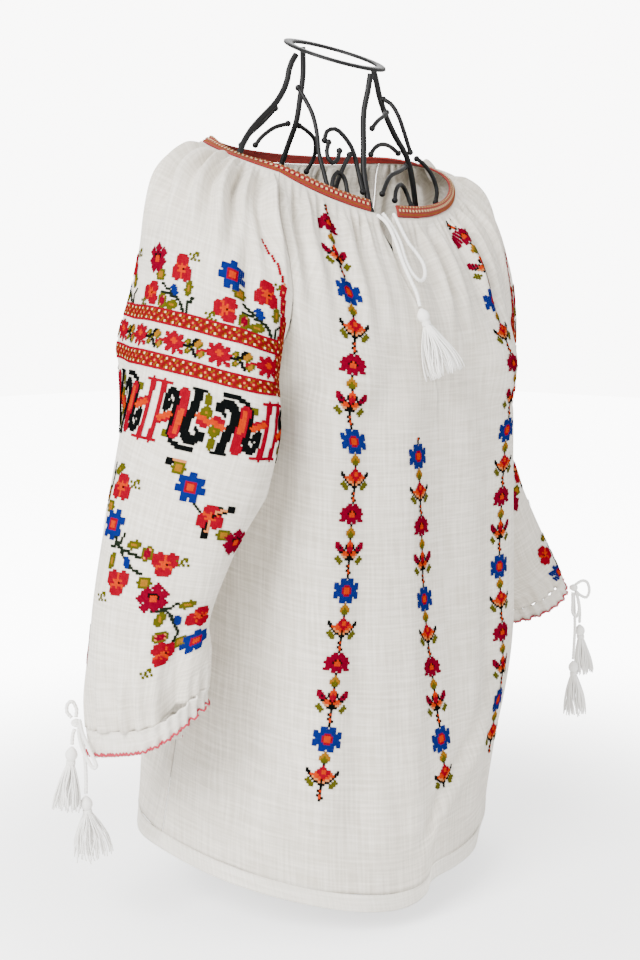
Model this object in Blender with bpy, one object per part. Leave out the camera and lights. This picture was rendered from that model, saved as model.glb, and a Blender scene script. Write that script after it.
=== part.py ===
"""A Romanian ie blouse standing on a wire dress form.

Metres, +Z up, the wearer's front towards -Y and the wearer's left towards +X.
The cloth panels are thin walls lofted through short tables of rows. A row runs across a panel,
and rows are numbered from 0 at the neckline to 12 at the hem or the cuff.
"""

import math

import bmesh
import bpy
from mathutils import Matrix, Vector

# Driving dimensions.
WALL = 0.0016  # cloth wall
TRIM_WALL = 0.0024  # turned hem, casing and tape
SEAM_GAP = 0.0004
FOLD_GAP = 0.0020  # where the sleeve folds back over the body at the underarm
CORD_RADIUS = 0.0016
MIDDLE_X = 0.0163  # middle of the footprint in the coordinates of the tables below
MIDDLE_Y = -0.0172
WIRE_RADIUS = 0.0021
FINE_WIRE_RADIUS = 0.0015
LAST_ROW = 12
UNDERARM_ROW = 7  # where front and back edges meet and the sleeve becomes a closed tube
UNDERARM_HEIGHT = 0.462
BODY_SIDE = 0.1412  # the sleeve stays this far out beside the body
BAND_ROWS = 0.42  # the neck band covers this much of the first row step
HEM_ROWS = 0.16
CUFF_ROWS = 0.38
SLIT_LENGTH_ROWS = 1.5
NECK_SHIFT = 0.010  # the neckline sits this far towards the wearer's left
NECK_SHIFT_ROWS = 3
SLIT_HALF_WIDTH = 0.0045
SLIT_OFFSET = 0.09
BAND_END_SHARE = 0.062  # the band stops this share of the front row short of the slit line

# The front and the back: the middle of each row, then its edge on the wearer's left (mirrored for
# the right). turn is how far the row swings round by its edge, square how boxy it is in plan, and
# lean how much the row rises towards the wearer's right.
PANEL_COLUMNS = ("mid_x", "mid_y", "mid_z", "edge_x", "edge_y", "edge_z", "turn", "square", "lean")
FRONT_ROWS = (
    (0.000, -0.091, 0.615, 0.1115, -0.0535, 0.645, 58, 2.0, 0.03),
    (0.000, -0.104, 0.590, 0.1220, -0.0670, 0.625, 54, 2.0, 0.02),
    (0.000, -0.120, 0.562, 0.1340, -0.0850, 0.600, 52, 2.1, 0.00),
    (0.000, -0.134, 0.533, 0.1385, -0.1000, 0.568, 52, 2.2, 0.00),
    (0.000, -0.141, 0.504, 0.1400, -0.1060, 0.535, 56, 2.5, 0.00),
    (0.000, -0.143, 0.477, 0.1380, -0.0960, 0.505, 66, 3.0, 0.00),
    (0.000, -0.144, 0.452, 0.1365, -0.0650, 0.480, 80, 3.4, 0.00),
    (0.000, -0.144, 0.426, 0.1350, -0.0200, 0.462, 90, 3.6, 0.00),
    (0.000, -0.144, 0.356, 0.1400, -0.0100, 0.388, 90, 3.6, 0.00),
    (0.000, -0.146, 0.274, 0.1500, -0.0040, 0.306, 90, 3.2, 0.02),
    (-0.006, -0.153, 0.190, 0.1620, 0.0000, 0.224, 90, 2.6, 0.03),
    (-0.022, -0.164, 0.102, 0.1760, 0.0050, 0.138, 90, 2.1, 0.04),
    (-0.042, -0.173, 0.013, 0.1900, 0.0100, 0.049, 90, 1.8, 0.05),
)
BACK_ROWS = (
    (0.000, 0.082, 0.672, 0.1115, 0.0330, 0.675, 58, 2.0, 0.03),
    (0.000, 0.093, 0.652, 0.1240, 0.0450, 0.660, 54, 2.0, 0.02),
    (0.000, 0.102, 0.625, 0.1370, 0.0560, 0.638, 52, 2.1, 0.00),
    (0.000, 0.108, 0.595, 0.1410, 0.0620, 0.608, 52, 2.2, 0.00),
    (0.000, 0.111, 0.565, 0.1415, 0.0620, 0.573, 56, 2.4, 0.00),
    (0.000, 0.112, 0.535, 0.1390, 0.0500, 0.536, 66, 2.6, 0.00),
    (0.000, 0.111, 0.508, 0.1365, 0.0180, 0.498, 80, 2.8, 0.00),
    (0.000, 0.110, 0.482, 0.1350, -0.0200, 0.462, 90, 2.8, 0.00),
    (0.000, 0.108, 0.412, 0.1400, -0.0100, 0.388, 90, 2.8, 0.00),
    (0.000, 0.110, 0.328, 0.1500, -0.0040, 0.306, 90, 2.6, 0.02),
    (0.000, 0.118, 0.246, 0.1620, 0.0000, 0.224, 90, 2.3, 0.03),
    (0.004, 0.128, 0.160, 0.1760, 0.0050, 0.138, 90, 2.1, 0.04),
    (0.008, 0.138, 0.071, 0.1900, 0.0100, 0.049, 90, 2.0, 0.05),
)

# A sleeve row is part of an ellipse that opens towards the body, its ends pulled to the edges of
# the front and the back. x and y are its middle, z its height there, out and along its half sizes,
# open half the angle it covers, and rise_x and rise_y its slopes.
SLEEVE_COLUMNS = ("x", "y", "z", "out", "along", "open", "rise_x", "rise_y")
RIGHT_SLEEVE_ROWS = (
    (0.000, -0.016, 0.654, 0.1230, 0.087, 30, 0.00, 0.33),
    (0.035, -0.016, 0.659, 0.1100, 0.082, 42, 0.00, 0.33),
    (0.070, -0.018, 0.652, 0.0960, 0.080, 58, 0.00, 0.33),
    (0.099, -0.022, 0.632, 0.0800, 0.080, 74, 0.00, 0.33),
    (0.122, -0.028, 0.600, 0.0690, 0.082, 92, 0.00, 0.33),
    (0.141, -0.037, 0.560, 0.0600, 0.084, 115, 0.10, 0.33),
    (0.158, -0.045, 0.517, 0.0570, 0.085, 145, 0.20, 0.32),
    (0.177, -0.050, 0.471, 0.0560, 0.085, 180, 0.25, 0.30),
    (0.201, -0.048, 0.410, 0.0520, 0.073, 180, 0.20, 0.28),
    (0.222, -0.042, 0.345, 0.0470, 0.063, 180, 0.10, 0.20),
    (0.235, -0.036, 0.282, 0.0440, 0.059, 180, 0.05, 0.08),
    (0.241, -0.036, 0.224, 0.0430, 0.061, 180, 0.00, -0.08),
    (0.241, -0.036, 0.168, 0.0400, 0.057, 180, 0.00, -0.22),
)
LEFT_SLEEVE_ROWS = (
    (0.000, -0.016, 0.660, 0.1280, 0.087, 30, 0.00, 0.33),
    (0.035, -0.014, 0.661, 0.1180, 0.084, 42, 0.00, 0.33),
    (0.070, -0.012, 0.658, 0.1080, 0.084, 58, 0.00, 0.33),
    (0.100, -0.010, 0.637, 0.0930, 0.084, 74, 0.00, 0.33),
    (0.125, -0.007, 0.603, 0.0790, 0.084, 92, 0.00, 0.33),
    (0.144, -0.002, 0.562, 0.0680, 0.082, 115, 0.10, 0.33),
    (0.160, 0.004, 0.518, 0.0610, 0.080, 145, 0.20, 0.32),
    (0.176, 0.010, 0.474, 0.0570, 0.077, 180, 0.30, 0.30),
    (0.194, 0.016, 0.424, 0.0530, 0.073, 180, 0.35, 0.25),
    (0.214, 0.012, 0.374, 0.0500, 0.069, 180, 0.40, 0.18),
    (0.236, 0.003, 0.325, 0.0480, 0.066, 180, 0.45, 0.10),
    (0.258, -0.009, 0.279, 0.0450, 0.062, 180, 0.50, 0.00),
    (0.275, -0.022, 0.240, 0.0410, 0.058, 180, 0.50, -0.05),
)

# Form: the wire sizes and the places of its rings.
NECK_RING_CENTRE = Vector((0.007, -0.013, 0.751))
NECK_RING_RADIUS = 0.046
NECK_RING_WIDTH = 0.008
NECK_RING_HEIGHT = 0.003
NECK_TILT = 0.38  # rise of the top ring towards the back
FOOT_RING_RADIUS = 0.078
FOOT_RING_CENTRE = Vector((0.030, -0.016, 0.0))
FOOT_RING_WIDTH = 0.014
FOOT_RING_HEIGHT = 0.004

# Each stay's route: x, y, z of its centre line.
STAYS = {
    "stay_right": (
        (-0.0395, -0.010, 0.7484), (-0.046, -0.009, 0.738), (-0.050, -0.009, 0.724),
        (-0.058, -0.009, 0.711), (-0.067, -0.008, 0.701), (-0.080, -0.007, 0.690),
        (-0.094, -0.007, 0.677), (-0.106, -0.008, 0.660), (-0.117, -0.012, 0.630),
        (-0.122, -0.018, 0.560), (-0.114, -0.018, 0.480), (-0.108, -0.018, 0.380),
        (-0.110, -0.018, 0.270), (-0.104, -0.018, 0.190), (-0.070, -0.017, 0.100),
        (-0.048, -0.016, 0.040), (-0.041, -0.016, 0.0066),
    ),
    "stay_left": (
        (0.0515, -0.019, 0.7450), (0.055, -0.020, 0.734), (0.060, -0.020, 0.719),
        (0.068, -0.021, 0.702), (0.079, -0.023, 0.684), (0.093, -0.025, 0.666),
        (0.102, -0.025, 0.642), (0.112, -0.022, 0.605),
        (0.122, -0.018, 0.560), (0.114, -0.018, 0.480), (0.108, -0.018, 0.380),
        (0.111, -0.018, 0.270), (0.116, -0.018, 0.190), (0.110, -0.017, 0.100),
        (0.102, -0.016, 0.040), (0.101, -0.016, 0.0066),
    ),
    "stay_front": (
        (0.006, -0.0575, 0.7317), (0.004, -0.056, 0.716), (0.001, -0.054, 0.697),
        (0.000, -0.055, 0.668), (-0.004, -0.060, 0.640), (-0.003, -0.072, 0.600), (0.000, -0.100, 0.560),
        (0.000, -0.118, 0.510), (0.000, -0.122, 0.450), (0.000, -0.116, 0.360),
        (0.000, -0.114, 0.270), (0.003, -0.115, 0.190), (0.018, -0.100, 0.100),
        (0.028, -0.089, 0.040), (0.030, -0.087, 0.0066),
    ),
    "stay_back": (
        (0.0105, 0.0310, 0.7645), (0.012, 0.032, 0.741), (0.010, 0.034, 0.719),
        (0.009, 0.038, 0.697), (0.008, 0.047, 0.678), (0.006, 0.059, 0.650), (0.002, 0.071, 0.612),
        (0.000, 0.079, 0.560), (0.000, 0.078, 0.480), (0.000, 0.072, 0.380),
        (0.000, 0.074, 0.270), (0.003, 0.078, 0.190), (0.018, 0.068, 0.100),
        (0.028, 0.057, 0.040), (0.030, 0.055, 0.0066),
    ),
}
# Arches and scrolls round the neck. A route point is (angle in degrees anticlockwise from the
# wearer's left, distance from the upright line through the top ring, height).
SCROLLS = {
    "arch_right_tall": (
        (188, 0.055, 0.718), (196, 0.054, 0.706), (203, 0.055, 0.694), (208, 0.058, 0.678),
        (211, 0.063, 0.660), (216, 0.069, 0.642), (220, 0.074, 0.624),
    ),
    "brace_right": ((164, 0.061, 0.702), (160, 0.071, 0.690), (162, 0.086, 0.678), (166, 0.097, 0.668)),
    "arch_front_right": (
        (214, 0.054, 0.672), (216, 0.051, 0.680), (225, 0.048, 0.682), (236, 0.046, 0.674),
        (245, 0.045, 0.663), (250, 0.047, 0.645), (252, 0.052, 0.628),
    ),
    "scroll_right_upper": (
        (218, 0.056, 0.670), (217, 0.060, 0.660), (221, 0.061, 0.652), (226, 0.056, 0.655),
        (228, 0.053, 0.663),
    ),
    "scroll_right_lower": (
        (222, 0.072, 0.622), (222, 0.068, 0.636), (226, 0.063, 0.644), (232, 0.060, 0.638),
        (234, 0.063, 0.624),
    ),
    "diagonal_right": ((239, 0.049, 0.660), (231, 0.052, 0.647), (225, 0.057, 0.632), (223, 0.060, 0.624)),
    "arch_back_right": ((140, 0.072, 0.672), (129, 0.066, 0.681), (116, 0.058, 0.690), (98, 0.053, 0.695)),
    "arch_back_left": (
        (82, 0.053, 0.694), (73, 0.053, 0.690), (62, 0.059, 0.682), (60, 0.068, 0.668),
        (65, 0.073, 0.654),
    ),
    "arch_left_tall": (
        (342, 0.051, 0.716), (335, 0.056, 0.711), (330, 0.061, 0.700), (329, 0.066, 0.686),
        (331, 0.073, 0.668),
    ),
    "branch_left": ((329, 0.049, 0.703), (314, 0.045, 0.699), (289, 0.042, 0.692), (276, 0.042, 0.685)),
    "arch_front_left": (
        (272, 0.043, 0.662), (280, 0.043, 0.668), (296, 0.044, 0.672), (318, 0.050, 0.672),
        (333, 0.062, 0.667),
    ),
    "diagonal_left": ((333, 0.069, 0.655), (318, 0.060, 0.650), (296, 0.052, 0.643), (275, 0.054, 0.627)),
    "scroll_left": (
        (292, 0.058, 0.622), (297, 0.058, 0.632), (308, 0.060, 0.637), (318, 0.065, 0.632),
        (316, 0.070, 0.618),
    ),
    "scroll_far_left": (
        (344, 0.089, 0.664), (344, 0.096, 0.660), (344, 0.106, 0.650), (344, 0.112, 0.636),
        (340, 0.106, 0.624),
    ),
}

# Torso rings inside the stays: half width, middle y, half depth, height, rise towards the back.
TORSO_RINGS = {
    "ring_chest": (0.1130, -0.0200, 0.0935, 0.520, 0.10),
    "ring_waist": (0.1035, -0.0220, 0.0895, 0.370, 0.00),
    "ring_hip": (0.0990, -0.0190, 0.0900, 0.235, 0.00),
}


# Cord routes, x, y, z of the centre line.
CORDS = {
    "tie_cord": (
        (-0.0300, -0.0985, 0.6060), (-0.0262, -0.1060, 0.5990), (-0.0245, -0.1140, 0.5850),
        (-0.0268, -0.1250, 0.5660), (-0.0262, -0.1320, 0.5530), (-0.0244, -0.1385, 0.5400),
        (-0.0250, -0.1430, 0.5282),
    ),
    "tie_loop": (
        (-0.0085, -0.0985, 0.6075), (-0.0105, -0.1070, 0.5970), (-0.0080, -0.1150, 0.5825),
        (-0.0030, -0.1205, 0.5730), (-0.0008, -0.1265, 0.5630), (-0.0060, -0.1320, 0.5530),
        (-0.0150, -0.1340, 0.5500), (-0.0210, -0.1300, 0.5570), (-0.0218, -0.1230, 0.5690),
        (-0.0190, -0.1150, 0.5830), (-0.0200, -0.1060, 0.5970), (-0.0235, -0.0990, 0.6075),
    ),
    "cuff_right_cord_short": (
        (-0.2708, 0.0217, 0.1780), (-0.2718, 0.0227, 0.1740), (-0.2721, 0.0235, 0.1690), (-0.2722, 0.0237, 0.1650),
    ),
    "cuff_right_cord_long": (
        (-0.2673, 0.0185, 0.1780), (-0.2658, 0.0175, 0.1680), (-0.2643, 0.0167, 0.1500),
        (-0.2636, 0.0169, 0.1350), (-0.2635, 0.0175, 0.1220),
    ),
    "cuff_right_bow_up": (
        (-0.2688, 0.0222, 0.1880), (-0.2678, 0.0227, 0.1945), (-0.2703, 0.0247, 0.2010),
        (-0.2743, 0.0262, 0.1990), (-0.2753, 0.0257, 0.1930), (-0.2723, 0.0237, 0.1880),
    ),
    "cuff_right_bow_down": (
        (-0.2700, 0.0170, 0.1815), (-0.2765, 0.0080, 0.1760), (-0.2840, -0.0070, 0.1680),
        (-0.2880, -0.0230, 0.1590), (-0.2890, -0.0300, 0.1620), (-0.2865, -0.0180, 0.1720),
        (-0.2800, -0.0010, 0.1810), (-0.2715, 0.0135, 0.1870),
    ),
    "cuff_left_cord_short": (
        (0.3050, -0.0780, 0.2290), (0.3090, -0.0790, 0.2190), (0.3130, -0.0780, 0.2070), (0.3150, -0.0765, 0.1950),
    ),
    "cuff_left_cord_long": (
        (0.3010, -0.0780, 0.2290), (0.3020, -0.0790, 0.2100), (0.3045, -0.0780, 0.1900),
        (0.3065, -0.0760, 0.1720), (0.3068, -0.0750, 0.1570),
    ),
    "cuff_left_bow_up": (
        (0.3065, -0.0760, 0.2365), (0.3140, -0.0790, 0.2400), (0.3240, -0.0790, 0.2370),
        (0.3310, -0.0770, 0.2270), (0.3290, -0.0750, 0.2200), (0.3200, -0.0740, 0.2230),
        (0.3120, -0.0740, 0.2280), (0.3070, -0.0745, 0.2320),
    ),
    "cuff_left_bow_down": (
        (0.2978, -0.0790, 0.2300), (0.2953, -0.0810, 0.2200), (0.2958, -0.0810, 0.2090),
        (0.2988, -0.0840, 0.2050), (0.2998, -0.0860, 0.2130), (0.2993, -0.0850, 0.2220), (0.3003, -0.0825, 0.2290),
    ),
}
# Bow knots: centre and radius. Tassels: top of the head, end of the skirt, radius of the flare.
KNOTS = {
    "cuff_right_knot": ((-0.2698, 0.0207, 0.1835), 0.0036),
    "cuff_left_knot": ((0.3030, -0.0765, 0.2340), 0.0036),
}
TASSELS = {
    "tie_tassel": ((-0.0252, -0.1440, 0.5262), (-0.0120, -0.1620, 0.4700), 0.0160),
    "cuff_right_tassel_short": ((-0.2722, 0.0239, 0.1628), (-0.2753, 0.0282, 0.1085), 0.0110),
    "cuff_right_tassel_long": ((-0.2635, 0.0179, 0.1198), (-0.2588, 0.0157, 0.0664), 0.0160),
    "cuff_left_tassel_short": ((0.3153, -0.0762, 0.1928), (0.3270, -0.0750, 0.1390), 0.0090),
    "cuff_left_tassel_long": ((0.3070, -0.0748, 0.1548), (0.3140, -0.0740, 0.0970), 0.0110),
}


def knot_profile(radius):
    return [(0.1, 0.45 * radius), (0.3, 0.9 * radius), (0.5, radius), (0.7, 0.9 * radius), (0.9, 0.45 * radius)]


def tassel_profile(flare):
    """Head, tied neck and skirt."""
    return [(0.0, 0.0022), (0.04, 0.0044), (0.10, 0.0052), (0.16, 0.0042), (0.19, 0.0036),
            (0.26, 0.0050), (0.55, 0.3 * 0.005 + 0.6 * flare), (1.0, flare)]


def catmull_rom(points, t):
    """The value at t on a smooth curve through points, t counting them from 0."""
    last = len(points) - 1
    i = min(max(int(t), 0), last - 1)
    f = t - i
    before, start, end, after = (points[min(max(k, 0), last)] for k in range(i - 1, i + 3))
    if i == 0:
        before = tuple(2 * s - e for s, e in zip(start, end))
    if i == last - 1:
        after = tuple(2 * e - s for s, e in zip(start, end))
    return tuple(
        0.5 * (2 * p1 + (p2 - p0) * f + (2 * p0 - 5 * p1 + 4 * p2 - p3) * f * f
               + (3 * p1 - p0 - 3 * p2 + p3) * f ** 3)
        for p0, p1, p2, p3 in zip(before, start, end, after)
    )


def row_values(columns, rows, t):
    return dict(zip(columns, catmull_rom(rows, t)))


def signed_power(value, power):
    return math.copysign(abs(value) ** power, value)


def evenly(points, count, first=0.0, last=1.0):
    """count points evenly spaced along the line through points, between two shares of its length."""
    marks = [0.0]
    for a, b in zip(points, points[1:]):
        marks.append(marks[-1] + (b - a).length)
    found = []
    k = 0
    for i in range(count):
        wanted = marks[-1] * (first + (last - first) * i / (count - 1))
        while k < len(points) - 2 and marks[k + 1] < wanted:
            k += 1
        step = marks[k + 1] - marks[k]
        found.append(points[k].lerp(points[k + 1], (wanted - marks[k]) / step))
    return found


def neck_shift(t):
    return NECK_SHIFT * max(0.0, 1 - t / NECK_SHIFT_ROWS) ** 2


def panel_row(rows, t, samples=72):
    """A dense row of the front or the back, from the wearer's right edge to the left one."""
    r = row_values(PANEL_COLUMNS, rows, t)
    # Below the underarm both edges follow the same rows, so that the side seam stays shut.
    if t > UNDERARM_ROW:
        side = row_values(PANEL_COLUMNS, rows[UNDERARM_ROW:], t - UNDERARM_ROW)
        r.update({key: side[key] for key in ("edge_x", "edge_y", "edge_z")})
    power = 2 / r["square"]
    turn = math.radians(min(r["turn"], 90))
    end_s = signed_power(math.sin(turn), power)
    end_c = 1 - signed_power(math.cos(turn), power)
    points = []
    for i in range(samples + 1):
        # Closer samples near the middle, where a boxy row would otherwise run straight.
        u = 2 * i / samples - 1
        angle = turn * signed_power(u, 1.8)
        across = signed_power(math.sin(angle), power) / end_s
        share = (1 - signed_power(math.cos(angle), power)) / end_c
        x = r["edge_x"] * across + r["mid_x"] * (1 - across * across)
        points.append(Vector((
            x + neck_shift(t),
            r["mid_y"] + (r["edge_y"] - r["mid_y"]) * share,
            r["mid_z"] + (r["edge_z"] - r["mid_z"]) * share - r["lean"] * x,
        )))
    return points


def panel_edge(rows, t, side):
    return panel_row(rows, t, 2)[0 if side < 0 else -1]


def sleeve_row(rows, side, t, samples=72):
    """A dense sleeve row from the front edge over the outside to the back edge."""
    r = row_values(SLEEVE_COLUMNS, rows, t)
    opening = math.radians(min(r["open"], 180))
    points = []
    for i in range(samples + 1):
        angle = opening * (2 * i / samples - 1)
        away = r["out"] * math.cos(angle)
        along = r["along"] * math.sin(angle)
        points.append(Vector((
            side * (r["x"] + away) + neck_shift(t),
            r["y"] + along,
            r["z"] + r["rise_x"] * (away - r["out"]) + r["rise_y"] * along,
        )))
    if t < UNDERARM_ROW + 1:
        # The ends are pulled onto the edges of the front and the back, less and less below them.
        keep = min(max(UNDERARM_ROW + 1 - t, 0.0), 1.0)
        row = min(t, UNDERARM_ROW)
        front_miss = (panel_edge(FRONT_ROWS, row, side) - points[0]) * keep
        back_miss = (panel_edge(BACK_ROWS, row, side) - points[-1]) * keep
        for i, point in enumerate(points):
            share = i / samples
            point += front_miss * (1 - share) ** 3 + back_miss * share ** 3
    if t > 4:
        # The inner side of the sleeve is held off the side of the body.
        ends = (side * points[0].x, side * points[-1].x)
        below = max(0.0, min(1.0, 3 * (t - UNDERARM_ROW)))
        for i, point in enumerate(points):
            inwards = max(below, min(1.0, 12 * min(i, samples - i) / samples))
            full = BODY_SIDE + 0.07 * max(0.0, UNDERARM_HEIGHT - point.z)
            end = ends[0] if 2 * i < samples else ends[1]
            limit = end + (FOLD_GAP + max(0.0, full - end) * inwards) * min(1.0, t - 4)
            point.x = side * max(limit, side * point.x)
    return points


def new_object(name, mesh, material):
    for polygon in mesh.polygons:
        polygon.use_smooth = True
    made = bpy.data.objects.new(name, mesh)
    bpy.context.scene.collection.objects.link(made)
    mesh.materials.append(material)
    return made


def new_material(name, colour, roughness, metallic=0.0):
    material = bpy.data.materials.new(name)
    material.use_nodes = True
    shader = material.node_tree.nodes["Principled BSDF"]
    shader.inputs["Base Color"].default_value = (*colour, 1.0)
    shader.inputs["Roughness"].default_value = roughness
    shader.inputs["Metallic"].default_value = metallic
    return material


def sheet_object(name, rows, closed_from, wall, material, keep_face=None):
    """A wall through rows of points. Rows from closed_from on are rings. keep_face can leave faces out."""
    mesh = bmesh.new()
    grid = []
    for number, row in enumerate(rows):
        ring = number >= closed_from
        verts = [mesh.verts.new(point) for point in (row[:-1] if ring else row)]
        grid.append(verts + verts[:1] if ring else verts)
    for i, (upper, lower) in enumerate(zip(grid, grid[1:])):
        for j in range(len(upper) - 1):
            if keep_face and not keep_face(i, j):
                continue
            corners = [upper[j], lower[j], lower[j + 1], upper[j + 1]]
            mesh.faces.new(list(dict.fromkeys(corners)))
    loose = [vert for vert in mesh.verts if not vert.link_faces]
    bmesh.ops.delete(mesh, geom=loose, context="VERTS")
    data = bpy.data.meshes.new(name)
    mesh.to_mesh(data)
    mesh.free()
    made = new_object(name, data, material)
    thickness = made.modifiers.new("Wall", "SOLIDIFY")
    thickness.thickness = wall
    thickness.offset = -1.0
    return made


def spaced(first, last, count):
    return [first + (last - first) * i / (count - 1) for i in range(count)]


def slit_share(t):
    """How far along a front row the slit line lies: right of the middle at the neck, then central."""
    return 0.5 - SLIT_OFFSET * max(0.0, min(1.0, 1 - (t - 2) / 4))


def row_steps(last):
    """The rows of a panel or a sleeve, the same down to the underarm so that their edges follow one line."""
    above = [1 + 0.5 * k for k in range(2 * (UNDERARM_ROW - 1) + 1)]
    return [BAND_ROWS + 0.02] + above + spaced(UNDERARM_ROW, last, 9)[1:]


def panel_object(name, rows, side_order, material, slit):
    """A front or back panel below the neck band, down to the hem band."""
    steps = row_steps(LAST_ROW - HEM_ROWS - 0.01)
    grid = []
    for t in steps:
        dense = panel_row(rows, t)
        length = sum((b - a).length for a, b in zip(dense, dense[1:]))
        trim = SEAM_GAP / length
        if slit:
            # The point on the slit line becomes the two sides of the slit.
            share = slit_share(t)
            points = evenly(dense, 10, trim, share)[:-1] + evenly(dense, 10, share, 1 - trim)
            middle = points[9]
            half = SLIT_HALF_WIDTH if t < SLIT_LENGTH_ROWS - 0.1 else 0.0008
            points[9:10] = [middle - Vector((half, 0, 0)), middle + Vector((half, 0, 0))]
        else:
            points = evenly(dense, 19, trim, 1 - trim)
        grid.append(points if side_order > 0 else points[::-1])
    keep = (lambda i, j: not (j == 9 and i < 2)) if slit else None
    return sheet_object(name, grid, len(grid), WALL, material, keep)


def sleeve_object(name, rows, side, material):
    steps = row_steps(LAST_ROW - CUFF_ROWS - 0.01)
    nearest = steps.index(UNDERARM_ROW)
    grid = []
    for t in steps:
        dense = sleeve_row(rows, side, t)
        length = sum((b - a).length for a, b in zip(dense, dense[1:]))
        trim = (SEAM_GAP + 0.5 * FOLD_GAP * max(0, t - 4) / 3) / length if t < UNDERARM_ROW else 0.0
        points = evenly(dense, 21, trim, 1 - trim)
        if t >= UNDERARM_ROW:
            points[-1] = points[0]
        grid.append(points if side < 0 else points[::-1])
    return sheet_object(name, grid, nearest, WALL, material)


def around_neck(t, per_panel=14):
    """The row round the whole garment from the slit, over the wearer's left shoulder, to the slit."""
    front = panel_row(FRONT_ROWS, t)
    middle = slit_share(t)
    left = evenly(front, per_panel, middle + BAND_END_SHARE, 1)
    over_left = evenly(sleeve_row(LEFT_SLEEVE_ROWS, 1, t), per_panel)
    back = evenly(panel_row(BACK_ROWS, t), per_panel + 4)[::-1]
    over_right = evenly(sleeve_row(RIGHT_SLEEVE_ROWS, -1, t), per_panel)[::-1]
    right = evenly(front, per_panel, 0, middle - BAND_END_SHARE)
    return left + over_left[1:] + back[1:] + over_right[1:] + right[1:]


def around_hem(t, per_panel=22):
    front = evenly(panel_row(FRONT_ROWS, t), per_panel)
    back = evenly(panel_row(BACK_ROWS, t), per_panel)[::-1]
    return front + back[1:-1] + front[:1]


def around_cuff(rows, side, t, count=25):
    points = evenly(sleeve_row(rows, side, t), count)
    points[-1] = points[0]
    return points if side < 0 else points[::-1]


def trim_object(name, rings, closed, material):
    return sheet_object(name, rings, 0 if closed else len(rings), TRIM_WALL, material)


def smooth_route(points, spacing):
    """Points at an even spacing on a smooth curve through a route."""
    dense = [Vector(catmull_rom([tuple(p) for p in points], k / 12)) for k in range(12 * (len(points) - 1) + 1)]
    length = sum((b - a).length for a, b in zip(dense, dense[1:]))
    return evenly(dense, max(3, round(length / spacing) + 1))


def tube_object(name, points, radius, sides, material, closed=False):
    """A wire or a cord: a polyline curve with a round bevel. sides is 6, 8 or 10."""
    curve = bpy.data.curves.new(name, "CURVE")
    curve.dimensions = "3D"
    spline = curve.splines.new("POLY")
    spline.points.add(len(points) - 1)
    for knot, point in zip(spline.points, points):
        knot.co = (*point, 1.0)
    spline.use_cyclic_u = closed
    curve.bevel_depth = radius
    curve.bevel_resolution = sides // 2 - 2
    curve.use_fill_caps = not closed
    curve.materials.append(material)
    made = bpy.data.objects.new(name, curve)
    bpy.context.scene.collection.objects.link(made)
    return made


def strip_ring_object(name, centre, half_width, half_depth, width, height, tilt, material, steps=40):
    """A flat strip ring with its underside at centre's height, rising by tilt towards the back."""
    mesh = bmesh.new()
    rings = []
    for inset, lift in ((0, 0), (0, height), (width, height), (width, 0)):
        ring = []
        for k in range(steps):
            angle = 2 * math.pi * k / steps
            along = (half_depth - inset) * math.sin(angle)
            point = Vector(((half_width - inset) * math.cos(angle), along, lift + tilt * along))
            ring.append(mesh.verts.new(centre + point))
        rings.append(ring)
    for inner, outer in zip(rings, rings[1:] + rings[:1]):
        for k in range(steps):
            n = (k + 1) % steps
            mesh.faces.new((inner[k], inner[n], outer[n], outer[k]))
    bmesh.ops.recalc_face_normals(mesh, faces=mesh.faces)
    data = bpy.data.meshes.new(name)
    mesh.to_mesh(data)
    mesh.free()
    made = new_object(name, data, material)
    data.set_sharp_from_angle(angle=math.radians(40))
    return made


def neck_point(angle, distance, height):
    """A point beside the upright line through the middle of the top ring."""
    turn = math.radians(angle)
    away = Vector((distance * math.cos(turn), distance * math.sin(turn), 0))
    return Vector((NECK_RING_CENTRE.x, NECK_RING_CENTRE.y, height)) + away


def lathe_object(name, start, end, profile, material, sides=8):
    """A turned solid from start to end. profile is (share of the way, radius) pairs between two poles."""
    axis = end - start
    turn = Vector((0, 0, 1)).rotation_difference(axis)
    mesh = bmesh.new()
    rings = []
    for share, radius in profile:
        ring = []
        for k in range(sides):
            angle = 2 * math.pi * k / sides
            offset = turn @ Vector((radius * math.cos(angle), radius * math.sin(angle), 0))
            ring.append(mesh.verts.new(start + axis * share + offset))
        rings.append(ring)
    for upper, lower in zip(rings, rings[1:]):
        for k in range(sides):
            n = (k + 1) % sides
            mesh.faces.new((upper[k], upper[n], lower[n], lower[k]))
    mesh.faces.new(rings[0])
    mesh.faces.new(rings[-1])
    bmesh.ops.recalc_face_normals(mesh, faces=mesh.faces)
    data = bpy.data.meshes.new(name)
    mesh.to_mesh(data)
    mesh.free()
    return new_object(name, data, material)


def build_cloth():
    cotton = new_material("cotton", (0.84, 0.81, 0.75), 0.9)
    tape = new_material("red tape", (0.62, 0.09, 0.04), 0.85)
    panel_object("front_panel", FRONT_ROWS, 1, cotton, True)
    panel_object("back_panel", BACK_ROWS, -1, cotton, False)
    sleeve_object("sleeve_right", RIGHT_SLEEVE_ROWS, -1, cotton)
    sleeve_object("sleeve_left", LEFT_SLEEVE_ROWS, 1, cotton)
    trim_object("neck_band", [around_neck(0.0), around_neck(BAND_ROWS)], False, tape)
    trim_object("hem_band", [around_hem(LAST_ROW - HEM_ROWS), around_hem(LAST_ROW)], True, cotton)
    for name, rows, side in (("cuff_right", RIGHT_SLEEVE_ROWS, -1), ("cuff_left", LEFT_SLEEVE_ROWS, 1)):
        steps = spaced(LAST_ROW - CUFF_ROWS, LAST_ROW, 3)
        trim_object(name, [around_cuff(rows, side, t) for t in steps], True, cotton)


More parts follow.
